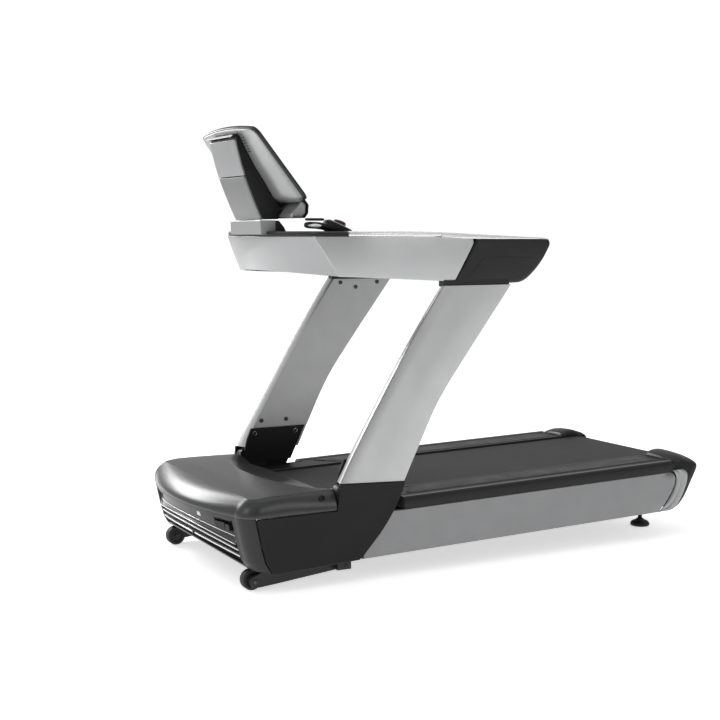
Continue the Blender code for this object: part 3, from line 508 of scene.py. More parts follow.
def hood_z(x, y):
    """Top skin of the hood: crowned, then dished down towards the belt."""
    y = abs(y)
    lip = 0.007 * (1 - ease((x + 0.957) / 0.09))
    start = -0.767 + 0.4 * y * y + 2.5 * y ** 4
    t = max(0.0, min(1.0, (x - start) / (-0.575 - start)))
    drop = 0.041 * (1 - (1 - t) ** 1.7) * (1 - 0.75 * ease((y - 0.33) / 0.1))
    return 0.3378 - 0.008 * (y / 0.47) ** 4 - lip - drop


def hood_band(t, outer, inner):
    """Point on the rounded band between the hood's lower edge and its crease."""
    (xo, yo), (xi, yi) = outer, inner
    top = hood_z(xi, yi)
    a = math.radians(BAND_TURN) * t
    reach = (1 - math.cos(a)) / (1 - math.cos(math.radians(BAND_TURN)))
    lift = math.sin(a) / math.sin(math.radians(BAND_TURN))
    return (mix(xo, xi, reach), mix(yo, yi, reach), mix(HOOD_LOW, top, lift))


def build_hood():
    half = plan_pairs()
    pairs = [((a[0], -a[1]), (b[0], -b[1])) for a, b in half[:0:-1]] + half
    rows = [[hood_band(i / 20, a, b) for a, b in pairs] for i in range(21)]
    bm = sheet_bm(rows)
    front = [p for p in rows[-1] if p[0] < -0.904]
    grid = []
    for k in range(27):
        w = k / 26
        row = []
        for j, (fx, fy, _) in enumerate(front):
            share = fy / CREASE_HALF
            back = along(HOOD_REAR, abs(share) * HOOD_REAR_HALF)
            x = mix(fx, back, w)
            y = mix(fy, share * HOOD_REAR_HALF, w)
            if j in (0, len(front) - 1):
                y = math.copysign(crease_y(x), fy) if k else fy
            row.append((x, y, hood_z(x, y)))
        grid.append(row)
    sheet_bm(grid, bm)
    # lip across the rear, and the two end faces behind the band
    sheet_bm([[(x + 0.001 * d, y, z - 0.003 * d) for x, y, z in grid[-1]] for d in range(5)], bm)
    for end in (0, -1):
        last = [row[end] for row in rows]
        side = math.copysign(1, last[0][1])
        sheet_bm([[(mix(x, x + 0.004, d / 3), side * mix(abs(y), 0.405, d / 3), z)
                   for x, y, z in last] for d in range(4)], bm)
    piece("hood_shell", bm, "hood", stands=["hood"], limit=9, thick=0.0035, away=(-0.8, 0, 0.2))
    for tag, s in SIDES:
        turned = turned_bm([(0.0078, -0.004), (0.0082, 0.0004), (0.007, 0.0008), (0.006, -0.002),
                            (0.0004, -0.003)], (-0.963, s * 0.255, 0.3215),
                            (-0.62, s * 0.08, 0.78), 24)
        piece("hood_fixing_" + tag, turned, "black", limit=50)
        turned = turned_bm([(0.01, -0.006), (0.0106, 0.0003), (0.0092, 0.0009), (0.008, -0.003),
                            (0.0004, -0.004)], (-0.681, s * 0.4592, 0.313), (0, s, 0.45), 24)
        piece("hood_side_fixing_" + tag, turned, "black", limit=50)


# ---- fascia
FACE = [(FASCIA_LOW, 0.058), (0.0855, 0.05), (0.11, 0.036), (0.16, 0.022), (0.205, 0.012),
        (0.245, 0.004), (FASCIA_TOP, 0.0)]


def arched(y, z):
    rise = FASCIA_ARCH * max(0.0, 1 - (y / CORNER_Y) ** 2)
    return FASCIA_TOP - (FASCIA_TOP - z) * (1 - rise / (FASCIA_TOP - FASCIA_LOW))


def setback(z):
    """How far the fascia leans back at a height, before its arch."""
    return along(FACE, z)


def front_point(y, z, deep=0.0):
    """Point on the nose at a width and an unarched height, set in by a depth."""
    slope = 2 * BOW * y
    size = math.hypot(1.0, slope)
    x = nose_at(y) + setback(z)
    return Vector((x + deep / size, y - deep * slope / size, arched(y, z)))


def real_point(y, z, deep=0.0):
    """The same, for a height measured on the object rather than before its arch."""
    rise = FASCIA_ARCH * max(0.0, 1 - (y / CORNER_Y) ** 2)
    flat = FASCIA_TOP - (FASCIA_TOP - z) / (1 - rise / (FASCIA_TOP - FASCIA_LOW))
    return front_point(y, flat, deep)


def spread(low, high, count):
    return [mix(low, high, i / (count - 1)) for i in range(count)]


ZONE_TOP, ZONE_LOW = 0.2495, 0.088
ZONE_DEEP = 0.012


def build_fascia():
    # the face, with the recessed zone left out
    ys = spread(-CORNER_Y, -ZONE_HALF, 3) + spread(-ZONE_HALF + 0.006, ZONE_HALF - 0.006, 61)
    ys += spread(ZONE_HALF, CORNER_Y, 3)
    turn = [math.radians(6 * i) for i in range(1, 13)]
    x0 = nose_at(CORNER_Y)
    corner = [(mix(x0, CORNER_X, 1 - math.cos(a)), mix(CORNER_Y, CORNER_SIDE, math.sin(a)))
              for a in turn]
    zs = sorted(set([z for z, _ in FACE] + spread(FASCIA_LOW, FASCIA_TOP, 22) + [ZONE_TOP,
                                                                                 ZONE_LOW]))
    grid = []
    for z in zs:
        row = [Vector((x + setback(z), -y, z)) for x, y in corner[::-1]]
        row += [front_point(y, z) for y in ys]
        row += [Vector((x + setback(z), y, z)) for x, y in corner]
        grid.append(row)
    first = len(corner) + 2

    def in_zone(k, j):
        high = zs[k] >= ZONE_LOW - 1e-6 and zs[k + 1] <= ZONE_TOP + 1e-6
        return high and first <= j < first + 62
    piece("fascia_frame", sheet_bm(grid, skip=in_zone), "charcoal", stands=["front_fascia"],
          limit=40, thick=0.0048, away=FRONT_INSIDE, edge=0.0015)
    # wall round the recessed zone, with rounded corners
    rim = []
    r = 0.014
    zone = [(-ZONE_HALF, ZONE_LOW), (ZONE_HALF, ZONE_LOW), (ZONE_HALF, ZONE_TOP),
            (-ZONE_HALF, ZONE_TOP)]
    quarter = (180, 270, 0, 90)
    for (y, z), begin in zip(zone, quarter):
        cy = y - math.copysign(r, y)
        cz = z + r if z == ZONE_LOW else z - r
        for i in range(7):
            a = math.radians(begin + 15 * i)
            rim.append((cy + r * math.cos(a), cz + r * math.sin(a)))
        if z == ZONE_LOW and y < 0:
            rim += [(t, z) for t in spread(-ZONE_HALF + 0.03, ZONE_HALF - 0.03, 31)]
        if z == ZONE_TOP and y > 0:
            rim += [(t, z) for t in spread(ZONE_HALF - 0.03, -ZONE_HALF + 0.03, 31)]
    loops = []
    for grow, deep in ((0.0016, 0.0001), (0.0, 0.001), (-0.001, ZONE_DEEP), (0.003, ZONE_DEEP),
                       (0.0036, 0.005)):
        ring = []
        for y, z in rim:
            cy = max(-ZONE_HALF + r, min(ZONE_HALF - r, y))
            cz = max(ZONE_LOW + r, min(ZONE_TOP - r, z))
            dy, dz = y - cy, z - cz
            size = math.hypot(dy, dz) or 1.0
            ring.append(front_point(y + dy / size * grow, z + dz / size * grow, deep))
        loops.append(ring)
    piece("fascia_tub_wall", loft_bm(loops, closed=True), "charcoal",
          limit=50)

    ys = sorted(set(spread(-ZONE_HALF, ZONE_HALF, 77) + [s * (SOCKET_Y + e) for s in (-1, 1)
                                                         for e in (-SOCKET_REACH, SOCKET_REACH)]))
    zs = [ZONE_LOW, 0.1, 0.12, 0.14, 0.16, 0.18, 0.195, SOCKET_LOW, SOCKET_Z, SOCKET_HIGH,
          ZONE_TOP]

    def in_socket(k, j):
        off = abs(abs((ys[j] + ys[j + 1]) / 2) - SOCKET_Y)
        return off < SOCKET_REACH and SOCKET_LOW < (zs[k] + zs[k + 1]) / 2 < SOCKET_HIGH
    plate = [[front_point(y, z, ZONE_DEEP) for y in ys] for z in zs]
    piece("socket_plate", sheet_bm(plate, skip=in_socket), "charcoal", stands=["socket_panel"],
          limit=40, thick=0.0025, away=FRONT_INSIDE)
    for tag, s in SIDES:
        socket(tag, s)
    grille()
    # blank label on the socket plate
    rows = [[front_point(y, z, ZONE_DEEP - 0.0006) for y in spread(-0.18, -0.156, 5)]
            for z in spread(0.222, 0.242, 4)]
    piece("socket_label", sheet_bm(rows), "label", thick=0.0004,
          away=FRONT_INSIDE)


def socket(tag, s):
    """Pocket in the socket plate: rounded frame, ribbed back and side walls."""
    y0, y1 = s * SOCKET_Y - SOCKET_REACH, s * SOCKET_Y + SOCKET_REACH
    z0, z1 = SOCKET_LOW, SOCKET_HIGH
    shape = [(y0, z0), (y1, z0), (y1, z1), (y0, z1)]
    loops = []
    for grow, deep in ((0.002, ZONE_DEEP - 0.0002), (0.0014, ZONE_DEEP - 0.0016),
                       (0.0, ZONE_DEEP - 0.001), (-0.0008, 0.03), (0.002, 0.03)):
        ring = []
        for i, (y, z) in enumerate(shape):
            ya, za = shape[(i + 1) % 4]
            for t in spread(0.0, 1.0, 7)[:-1]:
                yy, zz = mix(y, ya, t), mix(z, za, t)
                sy = math.copysign(1, yy - s * SOCKET_Y)
                sz = math.copysign(1, zz - SOCKET_Z)
                ring.append(front_point(yy + sy * grow, zz + sz * grow, deep))
        loops.append(ring)
    piece("socket_frame_" + tag, loft_bm(loops, closed=True), "charcoal",
          limit=45)
    back = [[front_point(y, z, 0.0296) for y in spread(y0, y1, 9)] for z in (z0, z1)]
    piece("socket_back_" + tag, sheet_bm(back), "black", thick=0.0015,
          away=(-0.5, 0, 0.22))
    if s > 0:
        for i in range(5):
            y = mix(y0 + 0.012, y1 - 0.04, i / 4)
            rib = [front_point(y, z, d) for z, d in ((z0 + 0.001, 0.029), (z0 + 0.001, 0.016),
                                                     (z1 - 0.001, 0.018), (z1 - 0.001, 0.029))]
            loops = [[p + Vector((0, w, 0)) for p in rib] for w in (-0.0012, 0.0012)]
            piece("socket_rib_%d" % i, loft_bm(loops), "charcoal", limit=40)
        spot = front_point(y1 - 0.018, SOCKET_Z, 0.028)
        ring = turned_bm([(0.0115, 0.0), (0.0115, 0.01), (0.0095, 0.0115), (0.008, 0.01),
                          (0.0075, 0.004), (0.0004, 0.003)], spot, (-1, -0.05, -0.1), 28)
        piece("breaker_ring", ring, "black", limit=45)


def grille():
    """Bright-edged ledge under the sockets, two bars and the bright lower edge."""
    half = ZONE_HALF - 0.006
    ys = spread(-half, half, 61)

    def low_line(y):
        return 0.204 - 0.039 * (y / half) ** 2

    def high_line(y):
        return 0.218 - 0.026 * (y / half) ** 2
    loop = [real_point(y, low_line(y), 0.0004) for y in ys]
    upper = [real_point(y, high_line(y), 0.011) for y in ys]
    mid = [(a + b) / 2 + Vector((0.003, 0, -0.004)) for a, b in zip(loop, upper)]
    tube = tube_bm(loop + upper[::-1], 0.0021, 8, closed=True)
    piece("ledge_edge", tube, "trim", stands=["front_grille"], limit=60)
    rows = [[p + Vector((0.001, 0, -0.0012)) for p in loop], mid, upper]
    piece("ledge_face", sheet_bm(rows), "hood", thick=0.0018,
          away=(-0.9, 0, 0.0))
    for name, line, reach in (("bar_high", lambda y: 0.184 - 0.27 * y * y, ZONE_HALF - 0.003),
                              ("bar_low", lambda y: 0.157 - 0.24 * y * y, ZONE_HALF - 0.003),
                              ("bar_foot", lambda y: 0.1305 - 0.31 * y * y, 0.372)):
        loops = []
        for y in spread(-reach, reach, 61):
            z = line(y)
            loops.append([real_point(y, z + 0.003, 0.003), real_point(y, z + 0.0014, 0.0004),
                          real_point(y, z - 0.0016, 0.0004), real_point(y, z - 0.003, 0.0022),
                          real_point(y, z - 0.003, 0.0112), real_point(y, z + 0.003, 0.0112)])
        piece("grille_" + name, loft_bm(loops), "trim", limit=25,
              edge=0.0006, segs=2)
    bm = bmesh.new()
    for line in (lambda y: 0.1985 - 0.3 * y * y, lambda y: 0.1705 - 0.255 * y * y,
                 lambda y: 0.144 - 0.28 * y * y):
        for k in range(3):
            shift = (k - 1) * 0.0062
            loops = []
            for y in spread(-ZONE_HALF + 0.008, ZONE_HALF - 0.008, 41):
                z = line(y) + shift
                loops.append([real_point(y, z + 0.0019, 0.0114), real_point(y, z + 0.0008, 0.0085),
                              real_point(y, z - 0.0008, 0.0085),
                              real_point(y, z - 0.0019, 0.0114)])
            loft_bm(loops, bm=bm)
    piece("grille_slats", bm, "black", limit=35)
    clip = [real_point(-0.1, 0.1546, 0.0), real_point(-0.088, 0.155, 0.0)]
    piece("grille_clip", tube_bm(clip, 0.004, 10), "black", limit=40)


SKIRT_FACE, SEAM_FACE = 0.4736, 0.4722    # where the skirts' fixings and seams stand


def build_covers():
    for tag, s in SIDES:
        for name, x, z, r in (("fixing", -0.579, 0.106, 0.0075), ("notch", -0.88, 0.093, 0.005)):
            cup = turned_bm([(r * 1.12, -0.002), (r * 1.12, 0.0003), (r * 0.9, 0.00034),
                             (r * 0.78, -0.003), (r * 0.05, -0.004)], (x, s * 0.4736, z),
                             (0, s, 0), 24)
            piece("skirt_%s_%s" % (name, tag), cup, "black", limit=45)
        shoulder = []
        for x, top in ((-0.6225, 0.312), (-0.62, 0.326), (-0.615, 0.34), (-0.605, 0.348),
                       (-0.56, 0.35), (-0.5, 0.348)):
            shoulder.append([(x, s * 0.4156, 0.266), (x, s * 0.4606, 0.266),
                             (x, s * 0.4606, top - 0.02),
                             (x, s * 0.459, top - 0.01), (x, s * 0.454, top - 0.003),
                             (x, s * 0.445, top), (x, s * 0.4156, top)])
        piece("skirt_shoulder_" + tag, loft_bm(shoulder), "cover",
              limit=40)
        back = [(-0.9345, 0.2635), (-0.9315, 0.245), (-0.9235, 0.205), (-0.9135, 0.16),
                (-0.8995, 0.11),
                (-0.8855, 0.0855), (-0.876, 0.068)]
        strip = tube_bm([(x, s * 0.459, z) for x, z in back], 0.0042, 8)
        piece("skirt_backing_" + tag, strip, "black")
        seam = [(-0.6265, s * SEAM_FACE, 0.2655), (-0.6215, s * SEAM_FACE, 0.3),
                (-0.616, s * SEAM_FACE, 0.356)]
        piece("skirt_seam_" + tag, tube_bm(seam, 0.0009, 6), "black")


# ---- deck
# foot rail in cross-section: inner lip, tread bed, slit, light crest, dark side band
RAIL = [(0.2765, 0.2824), (0.2765, 0.288), (0.2772, 0.2902), (0.279, 0.2914),
        (0.298, 0.2916), (0.2988, 0.2906), (0.402, 0.2906), (0.4028, 0.2918),
        (0.411, 0.292), (0.4125, 0.288), (0.4165, 0.288), (0.418, 0.292),
        (0.439, 0.2919), (0.44, 0.291), (0.4412, 0.291), (0.442, 0.2916),
        (0.447, 0.2908), (0.452, 0.289), (0.456, 0.2858), (0.4588, 0.2815),
        (0.4602, 0.276), (0.4604, 0.2486), (0.4462, 0.2486), (0.4462, 0.2745),
        (0.43, 0.2836), (0.296, 0.2836), (0.292, 0.2824)]
CREST = [(0.4394, 0.2916), (0.4408, 0.2924), (0.4446, 0.292), (0.4462, 0.291),
         (0.444, 0.2902), (0.44, 0.2905)]
RIB, RIB_PITCH, TREAD_END = 0.005, 0.0076, 0.85
RIB_SHAPE = [(0, 0.2904), (0.0004, 0.2922), (0.0012, 0.2926), (RIB - 0.0012, 0.2926),
             (RIB - 0.0004, 0.2922), (RIB, 0.2904)]
TREAD_FRONT = [(0.3, -0.225), (0.335, -0.258), (0.384, -0.296), (0.4, -0.28)]


def build_deck():
    x0, x1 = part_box("foot_rail_l")[0].x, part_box("foot_rail_l")[1].x
    for tag, s in SIDES:
        narrow = [(min(y, 0.389), z) for y, z in RAIL]
        loops = deck_bar(narrow, (x0, -0.3502), s) + deck_bar(RAIL, (-0.3498, x1), s)
        piece("rail_body_" + tag, loft_bm(loops), "rail", stands=["foot_rail_" + tag], limit=25)
        tread(tag, s)
        crest = deck_bar(CREST, spread(-0.349, x1 - 0.001, 25), s)
        piece("rail_crest_" + tag, loft_bm(crest), "panel", limit=50)
        band(tag, s)
        rear(tag, s)
    belt()


def deck_bar(section, xs, s):
    """Rings of a (y, height) section that follows the sloping deck, on side s."""
    return [[(x, s * y, deck_z(x, z)) for y, z in section] for x in xs]


def tread(tag, s):
    """Ribbed step pad with a pointed front end, its border and the slit beside it."""
    bm = bmesh.new()
    for i in range(13):
        y = 0.3015 + RIB_PITCH * i
        section = [(y + a, z) for a, z in RIB_SHAPE]
        loft_bm(deck_bar(section, spread(along(TREAD_FRONT, y), TREAD_END, 24), s), bm=bm)
    piece("tread_ribs_" + tag, bm, "strip", limit=25)
    edge = [(TREAD_END, 0.3), (-0.222, 0.3), (-0.2985, 0.3845), (-0.284, 0.4012),
            (TREAD_END, 0.4012)]
    line = [(x, s * y, deck_z(x, 0.2919)) for x, y in edge]
    piece("tread_edge_" + tag, tube_bm(line, 0.0011, 6), "rail")
    slit = [(0.4127, 0.2882), (0.4163, 0.2882), (0.4163, 0.289), (0.4127, 0.289)]
    piece("rail_slit_" + tag, loft_bm(deck_bar(slit, spread(-0.345, 0.82, 12), s)), "black")


PANEL_OUTLINE = [(-0.47, 0.2473), (0.893, 0.2473), (0.911, 0.238), (0.921, 0.222), (0.918, 0.196),
                 (0.899, 0.158), (0.866, 0.118), (0.834, 0.0905), (-0.52, 0.0887)]


def band(tag, s):
    """Lightly crowned side panel with rolled edges."""
    path = []
    for i, (x, w) in enumerate(PANEL_OUTLINE):
        xa, wa = PANEL_OUTLINE[(i + 1) % len(PANEL_OUTLINE)]
        parts = max(1, int(math.hypot(xa - x, wa - w) / 0.03))
        path += [(mix(x, xa, k / parts), mix(w, wa, k / parts)) for k in range(parts)]
    cx, cw = 0.2, 0.168
    loops = []
    for y, shrink in ((0.4455, 0.0), (0.4575, 0.0), (0.459, 0.0006), (0.46, 0.002)):
        loops.append([(x - shrink * max(-1, min(1, (x - cx) * 4)), s * y,
                       deck_z(x, w - shrink * max(-1, min(1, (w - cw) * 20)))) for x, w in path])
    for size in (0.8, 0.5, 0.2):
        loops.append([(mix(cx, x, size ** 0.3), s * mix(0.4604, 0.46, size),
                       deck_z(mix(cx, x, size ** 0.3), mix(cw, w, size))) for x, w in path])
    piece("side_band_" + tag, loft_bm(loops), "panel", stands=["side_panel_" + tag], limit=30)


CAP_OUTLINE = [(0.9065, 0.1), (0.93, 0.087), (0.95, 0.095), (0.985, 0.128), (1.02, 0.18),
               (1.045, 0.228), (1.055, 0.256), (1.05, 0.278), (1.035, 0.292), (1.01, 0.302),
               (0.975, 0.313), (0.945, 0.314), (0.915, 0.306), (0.9065, 0.2925)]
ACCENT_OUTER = [(0.8385, 0.0905), (0.915, 0.092), (0.955, 0.13), (0.983, 0.185), (0.99, 0.222),
                (0.98, 0.243), (0.96, 0.2525)]
ACCENT_INNER = [(0.8385, 0.0905), (0.87, 0.116), (0.903, 0.156), (0.9225, 0.195), (0.9255, 0.224),
                (0.916, 0.242), (0.9062, 0.2525)]
ACCENT_DEPTH = [(0.0, 0.456), (0.05, 0.459), (0.3, 0.4586), (0.37, 0.4574), (0.43, 0.4574),
                (0.5, 0.4588), (0.8, 0.458), (0.94, 0.4562), (1.0, 0.453)]


def rear(tag, s):
    """Rounded end cap and the light accent that curves up behind the side panel."""
    ring = smooth_line(CAP_OUTLINE, 66)
    cx, cw = 0.975, 0.215
    loops = []
    for y, inset, lift in ((0.278, 0.013, 0.008), (0.28, 0.008, 0.006), (0.284, 0.003, 0.005),
                           (0.29, 0.0008, 0.002), (0.3, 0.0, 0.001), (0.33, 0.0, 0.001),
                           (0.37, 0.0, 0.003), (0.405, 0.0008, 0.008), (0.425, 0.0025, 0.013),
                           (0.437, 0.0055, 0.018), (0.4435, 0.0105, 0.023)):
        loop = []
        for x, w in ring:
            dx, dw = x - cx, w - cw
            size = math.hypot(dx, dw)
            drop = lift * ease((w - 0.26) / 0.04)
            loop.append((min(1.0545, x - dx / size * inset), s * y,
                         deck_z(x, w - dw / size * inset - drop)))
        loops.append(loop)
    cap = piece("cap_" + tag, loft_bm(loops), "charcoal", stands=["rear_cap_" + tag], limit=45)
    pocket("cap_" + tag, cap, s)
    seam = [(0.9062, s * y, deck_z(0.9062, z)) for y, z in
            ((0.3, 0.2936), (0.4, 0.2934), (0.436, 0.2928), (0.4485, 0.289), (0.4535, 0.279))]
    piece("cap_seam_" + tag, tube_bm(seam, 0.0011, 6), "black")
    rows = []
    far, near = smooth_line(ACCENT_OUTER, 30), smooth_line(ACCENT_INNER, 30)
    for u, y in ACCENT_DEPTH:
        rows.append([(mix(a.x, b.x, u), s * y, deck_z(mix(a.x, b.x, u), mix(a.y, b.y, u)))
                     for a, b in zip(near, far)])
    piece("accent_" + tag, sheet_bm(rows), "accent", stands=["rear_accent_" + tag], limit=50,
          thick=0.0035, away=(0.92, 0, 0.19))


def pocket(name, cap, s):
    """Hollow the cap's inner side, where the belt end and the rear frame pass."""
    for i, (x1, y0, y1) in enumerate(((1.044, 0.2, 0.33), (0.958, 0.315, 0.442))):
        corners = [(0.8, 0.05), (x1, 0.05), (x1, 0.2845), (0.8, 0.2845)]
        loops = [[(x, s * y, deck_z(x, w)) for x, w in corners] for y in (y0, y1)]
        cutter = piece("%s_hollow_%d" % (name, i), loft_bm(loops), "charcoal")
        mod = cap.modifiers.new("hollow_%d" % i, "BOOLEAN")
        mod.operation = "DIFFERENCE"
        mod.solver = "EXACT"
        mod.object = cutter
        bpy.context.view_layer.objects.active = cap
        with bpy.context.temp_override(object=cap):
            bpy.ops.object.modifier_apply(modifier=mod.name)
        bpy.data.objects.remove(cutter, do_unlink=True)


def belt():
    """Thin guide line along each edge of the running belt."""
    for tag, s in SIDES:
        line = [(x, s * 0.264, deck_z(x, 0.2837)) for x in spread(-0.66, 0.97, 18)]
        loops = [[(p[0], p[1] + a, p[2] + b) for a, b in ((-0.0007, -0.0006), (0.0007, -0.0006),
                                                          (0.0007, 0.0), (-0.0007, 0.0))]
                 for p in line]
        piece("belt_guide_" + tag, loft_bm(loops), "strip")


# ---- uprights
def blade_inside(z):
    """Distance of a blade's inner face from the middle, at a height."""
    return 0.4152 + 0.012 * (z - 0.35) / 0.69


BLADE_OUTSIDE = 0.4678
BLADE_FRONT = [(-0.614, 0.3585), (-0.553, 0.474), (-0.453, 0.644), (-0.347, 0.816),
               (-0.231, 0.991), (-0.196, 1.04)]
BLADE_REAR = [(-0.353, 0.3465), (-0.3, 0.454), (-0.209, 0.629), (-0.081, 0.805),
              (0.057, 0.984), (0.099, 1.04)]
# across a blade, as shares of its width and thickness: rolled edges and flat faces
BLADE_SECTION = [(0.045, 0.1), (0.06, 0.0), (0.3, 0.0), (0.5, 0.0), (0.978, 0.0),
                 (0.99, 0.05), (0.998, 0.2), (1.0, 0.4), (1.0, 0.75), (0.997, 0.9), (0.988, 0.98),
                 (0.976, 1.0), (0.5, 1.0), (0.2, 1.0), (0.018, 1.0), (0.006, 0.97), (0.001, 0.9),
                 (0.003, 0.78)]


def build_uprights():
    a, b = smooth_line(BLADE_FRONT, 41), smooth_line(BLADE_REAR, 41)
    for tag, s in SIDES:
        loops = []
        for p, q in zip(a, b):
            loops.append([(mix(p.x, q.x, u), s * mix(blade_inside(p.y), BLADE_OUTSIDE, v),
                           mix(p.y, q.y, u)) for u, v in BLADE_SECTION])
        piece("upright_" + tag, loft_bm(loops), "blade", stands=["blade_" + tag], limit=35)
        for i, (u, z) in enumerate(((0.2, 1.022), (0.5, 1.002), (0.8, 1.022), (0.16, 0.462),
                                    (0.6, 0.462))):
            k = min(range(41), key=lambda n: abs(a[n].y - z))
            place = (mix(a[k].x, b[k].x, u), s * blade_inside(z), z)
            screw("upright_screw_%s_%d" % (tag, i), place, (0, -s, 0), 0.0088)
        # black block at the blade's top: fills the gap up to the arm and stands in for the shade
        # there (painted shade)
        gap_shade_block = [[(x, s * y, z) for x, y in ((-0.187, 0.4225), (0.09, 0.4225), (0.094, 0.4265),
                                            (0.094, 0.459), (0.09, 0.463), (-0.187, 0.463),
                                            (-0.191, 0.459), (-0.191, 0.4265))]
                for z in (1.037, 1.06)]
        piece("upright_gap_shade_" + tag, loft_bm(gap_shade_block), "black", limit=40)
        for i, x in enumerate((-0.556, -0.372)):
            cup = turned_bm([(0.0085, -0.001), (0.009, 0.0004), (0.0075, 0.0008),
                             (0.0065, -0.0006), (0.0004, -0.0008)],
                            (x, s * 0.407, 0.412), (0, -s, 0), 24)
            piece("bracket_hole_%s_%d" % (tag, i), cup, "bright",
                  limit=45)


# ---- lift, wheels and feet
def build_running_gear():
    for tag, s in SIDES:
        low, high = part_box("wheel_" + tag)
        cx, cz = (low.x + high.x) / 2, (low.z + high.z) / 2
        r = (high.x - low.x) / 2
        y0, y1 = low.y, high.y
        tyre = [(0.0088, 0.001), (0.016, 0.001), (0.018, 0.004), (0.024, 0.004), (0.026, 0.0),
                (r - 0.003, 0.0), (r - 0.0008, 0.0012), (r, 0.004)]
        width = y1 - y0
        profile = tyre + [(q, width - h) for q, h in tyre[::-1]]
        ringed = turned_bm(profile, (cx, y0, cz), (0, 1, 0), 56)
        piece("tyre_" + tag, open_bore(ringed), "rubber", "wheel_" + tag, stands=["wheel_" + tag],
              limit=35)
        screw("wheel_bolt_" + tag, (cx, s * 0.416, cz), (0, s, 0), 0.0085, "lift_frame")
        low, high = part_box("rear_foot_" + tag)
        centre = ((low.x + high.x) / 2, (low.y + high.y) / 2, low.z)
        top = high.z - low.z
        profile = [(0.034, 0.0), (0.0385, 0.0015), (0.04, 0.005), (0.0397, 0.01), (0.0375, 0.015),
                   (0.033, 0.0195), (0.027, 0.0225), (0.02, 0.0245), (0.0165, 0.027),
                   (0.0155, 0.03), (0.01, 0.0325)]
        z = 0.034
        while z < 0.1:
            profile += [(0.0088, z), (0.008, z + 0.001)]
            z += 0.002
        profile += [(0.0088, z), (0.0088, top - 0.001), (0.0078, top)]
        foot = turned_bm(profile, centre, (0, 0, 1), 48)
        piece("levelling_foot_" + tag, foot, "rubber", "rear_foot_" + tag,
              stands=["rear_foot_" + tag], limit=35)


def open_bore(bm):
    """Take the two end caps off a turned body and join them as a through bore."""
    caps = sorted((f for f in bm.faces if len(f.verts) > 4), key=lambda f: f.calc_area())
    rims = [list(f.verts) for f in caps[:2]]
    bmesh.ops.delete(bm, geom=caps, context="FACES_ONLY")
    a, b = rims[0], rims[1][::-1]
    shift = min(range(len(b)), key=lambda k: (b[k].co.xz - a[0].co.xz).length)
    b = b[shift:] + b[:shift]
    n = len(a)
    if (b[1].co.xz - a[1].co.xz).length > 1e-4:
        b = [b[0]] + b[:0:-1]
    for i in range(n):
        j = (i + 1) % n
        bm.faces.new((a[i], a[j], b[j], b[i]))
    return bm


# ---- handrail arms
ARM_PATH = [(0.4, 0.4615), (0.0, 0.4615), (-0.3, 0.4605), (-0.42, 0.456), (-0.5, 0.447),
            (-0.57, 0.432), (-0.63, 0.411), (-0.67, 0.392), (-0.72, 0.362)]
ARM_LINE = [tuple(p) for p in smooth_line(ARM_PATH[::-1], 90)]
ARM_TOP = 1.2165


def outer_y(x):
    return along(ARM_LINE, x)


def side_y(x, z):
    return outer_y(x) - 0.002 * (2 * (z - 1.14) / 0.15) ** 2


def arm_low(x):
    return mix(1.0795, 1.047, ease((x + 0.76) / 0.87))


def build_arms():
    for tag, s in SIDES:
        rows = []
        for i in range(37):
            t = i / 36
            top_x, low_x = mix(-0.674, -0.055, t), mix(-0.594, -0.144, t)
            row = []
            for k in range(15):
                u = k / 14
                x = mix(low_x, top_x, u) - 0.011 * t ** 14 * max(0.0, (u - 0.86) / 0.14) ** 2
                z = mix(arm_low(low_x) + 0.001, ARM_TOP - 0.0085 * ease((top_x + 0.25) / 0.2), u)
                row.append((x, s * side_y(x, z), z))
            rows.append(row)
        piece("arm_skin_" + tag, sheet_bm(rows), "silver", stands=["arm_panel_" + tag], limit=40,
              thick=0.013, away=(-0.35, s * 0.4, 1.14), edge=0.0018)
        # thin bright tube along the arm panel's front edge: painted highlight where the edge
        # catches light
        seam = [(x - 0.0012, s * (abs(y) - 0.0001), z) for x, y, z in rows[0]]
        piece("arm_seam_highlight_" + tag, tube_bm(seam, 0.0007, 6), "trim")
        trim(tag, s)
        grip(tag, s)


def trim(tag, s):
    """Light rail along the arm's top, with a rounded outer edge and a seam."""
    tops = [(-0.56, 1.236), (-0.49, 1.2362), (-0.42, 1.2355), (-0.22, 1.233),
            (0.0, 1.223), (0.15, 1.2165), (0.267, 1.211)]
    tops = [tuple(p) for p in smooth_line(tops, 60)]
    for name, xa, xb in (("front", -0.56, -0.2012), ("rear", -0.1996, 0.267)):
        loops = []
        for x in spread(xa, xb, 26):
            zt = along(tops, x)
            y1 = outer_y(x) - 0.0026
            y0 = y1 - 0.05
            zb = min(1.2176 if x < -0.2 else 1.2086, zt - 0.0035)
            fit = min(1.0, (zt - zb) / 0.012)
            section = [(y0 + 0.001, zb), (y1 - 0.0008, zb), (y1, zb + 0.001),
                       (y1, mix(zb, zt, 0.45)),
                       (y1 - 0.0006, mix(zb, zt, 0.62)), (y1 - 0.0022 * fit, mix(zb, zt, 0.8)),
                       (y1 - 0.005 * fit, mix(zb, zt, 0.93)), (y1 - 0.0095 * fit, zt - 0.0002),
                       (y1 - 0.02, zt), (y0 + 0.01, zt), (y0 + 0.004, zt - 0.0012),
                       (y0 + 0.0012, zt - 0.0035 * fit), (y0, mix(zb, zt, 0.4))]
            loops.append([(x, s * y, z) for y, z in section])
        stands = ["arm_trim_" + tag] if name == "front" else []
        piece("arm_rail_%s_%s" % (name, tag), loft_bm(loops), "trim",
              stands=stands, limit=40)


GRIP_OUTLINE = [(-0.1425, 1.0475), (-0.02, 1.047), (0.11, 1.0455), (0.16, 1.053), (0.205, 1.085),
                (0.245, 1.13), (0.272, 1.174), (0.2785, 1.19), (0.274, 1.203), (0.255, 1.2068),
                (0.1, 1.2072), (-0.04, 1.2075), (-0.052, 1.202), (-0.098, 1.124)]


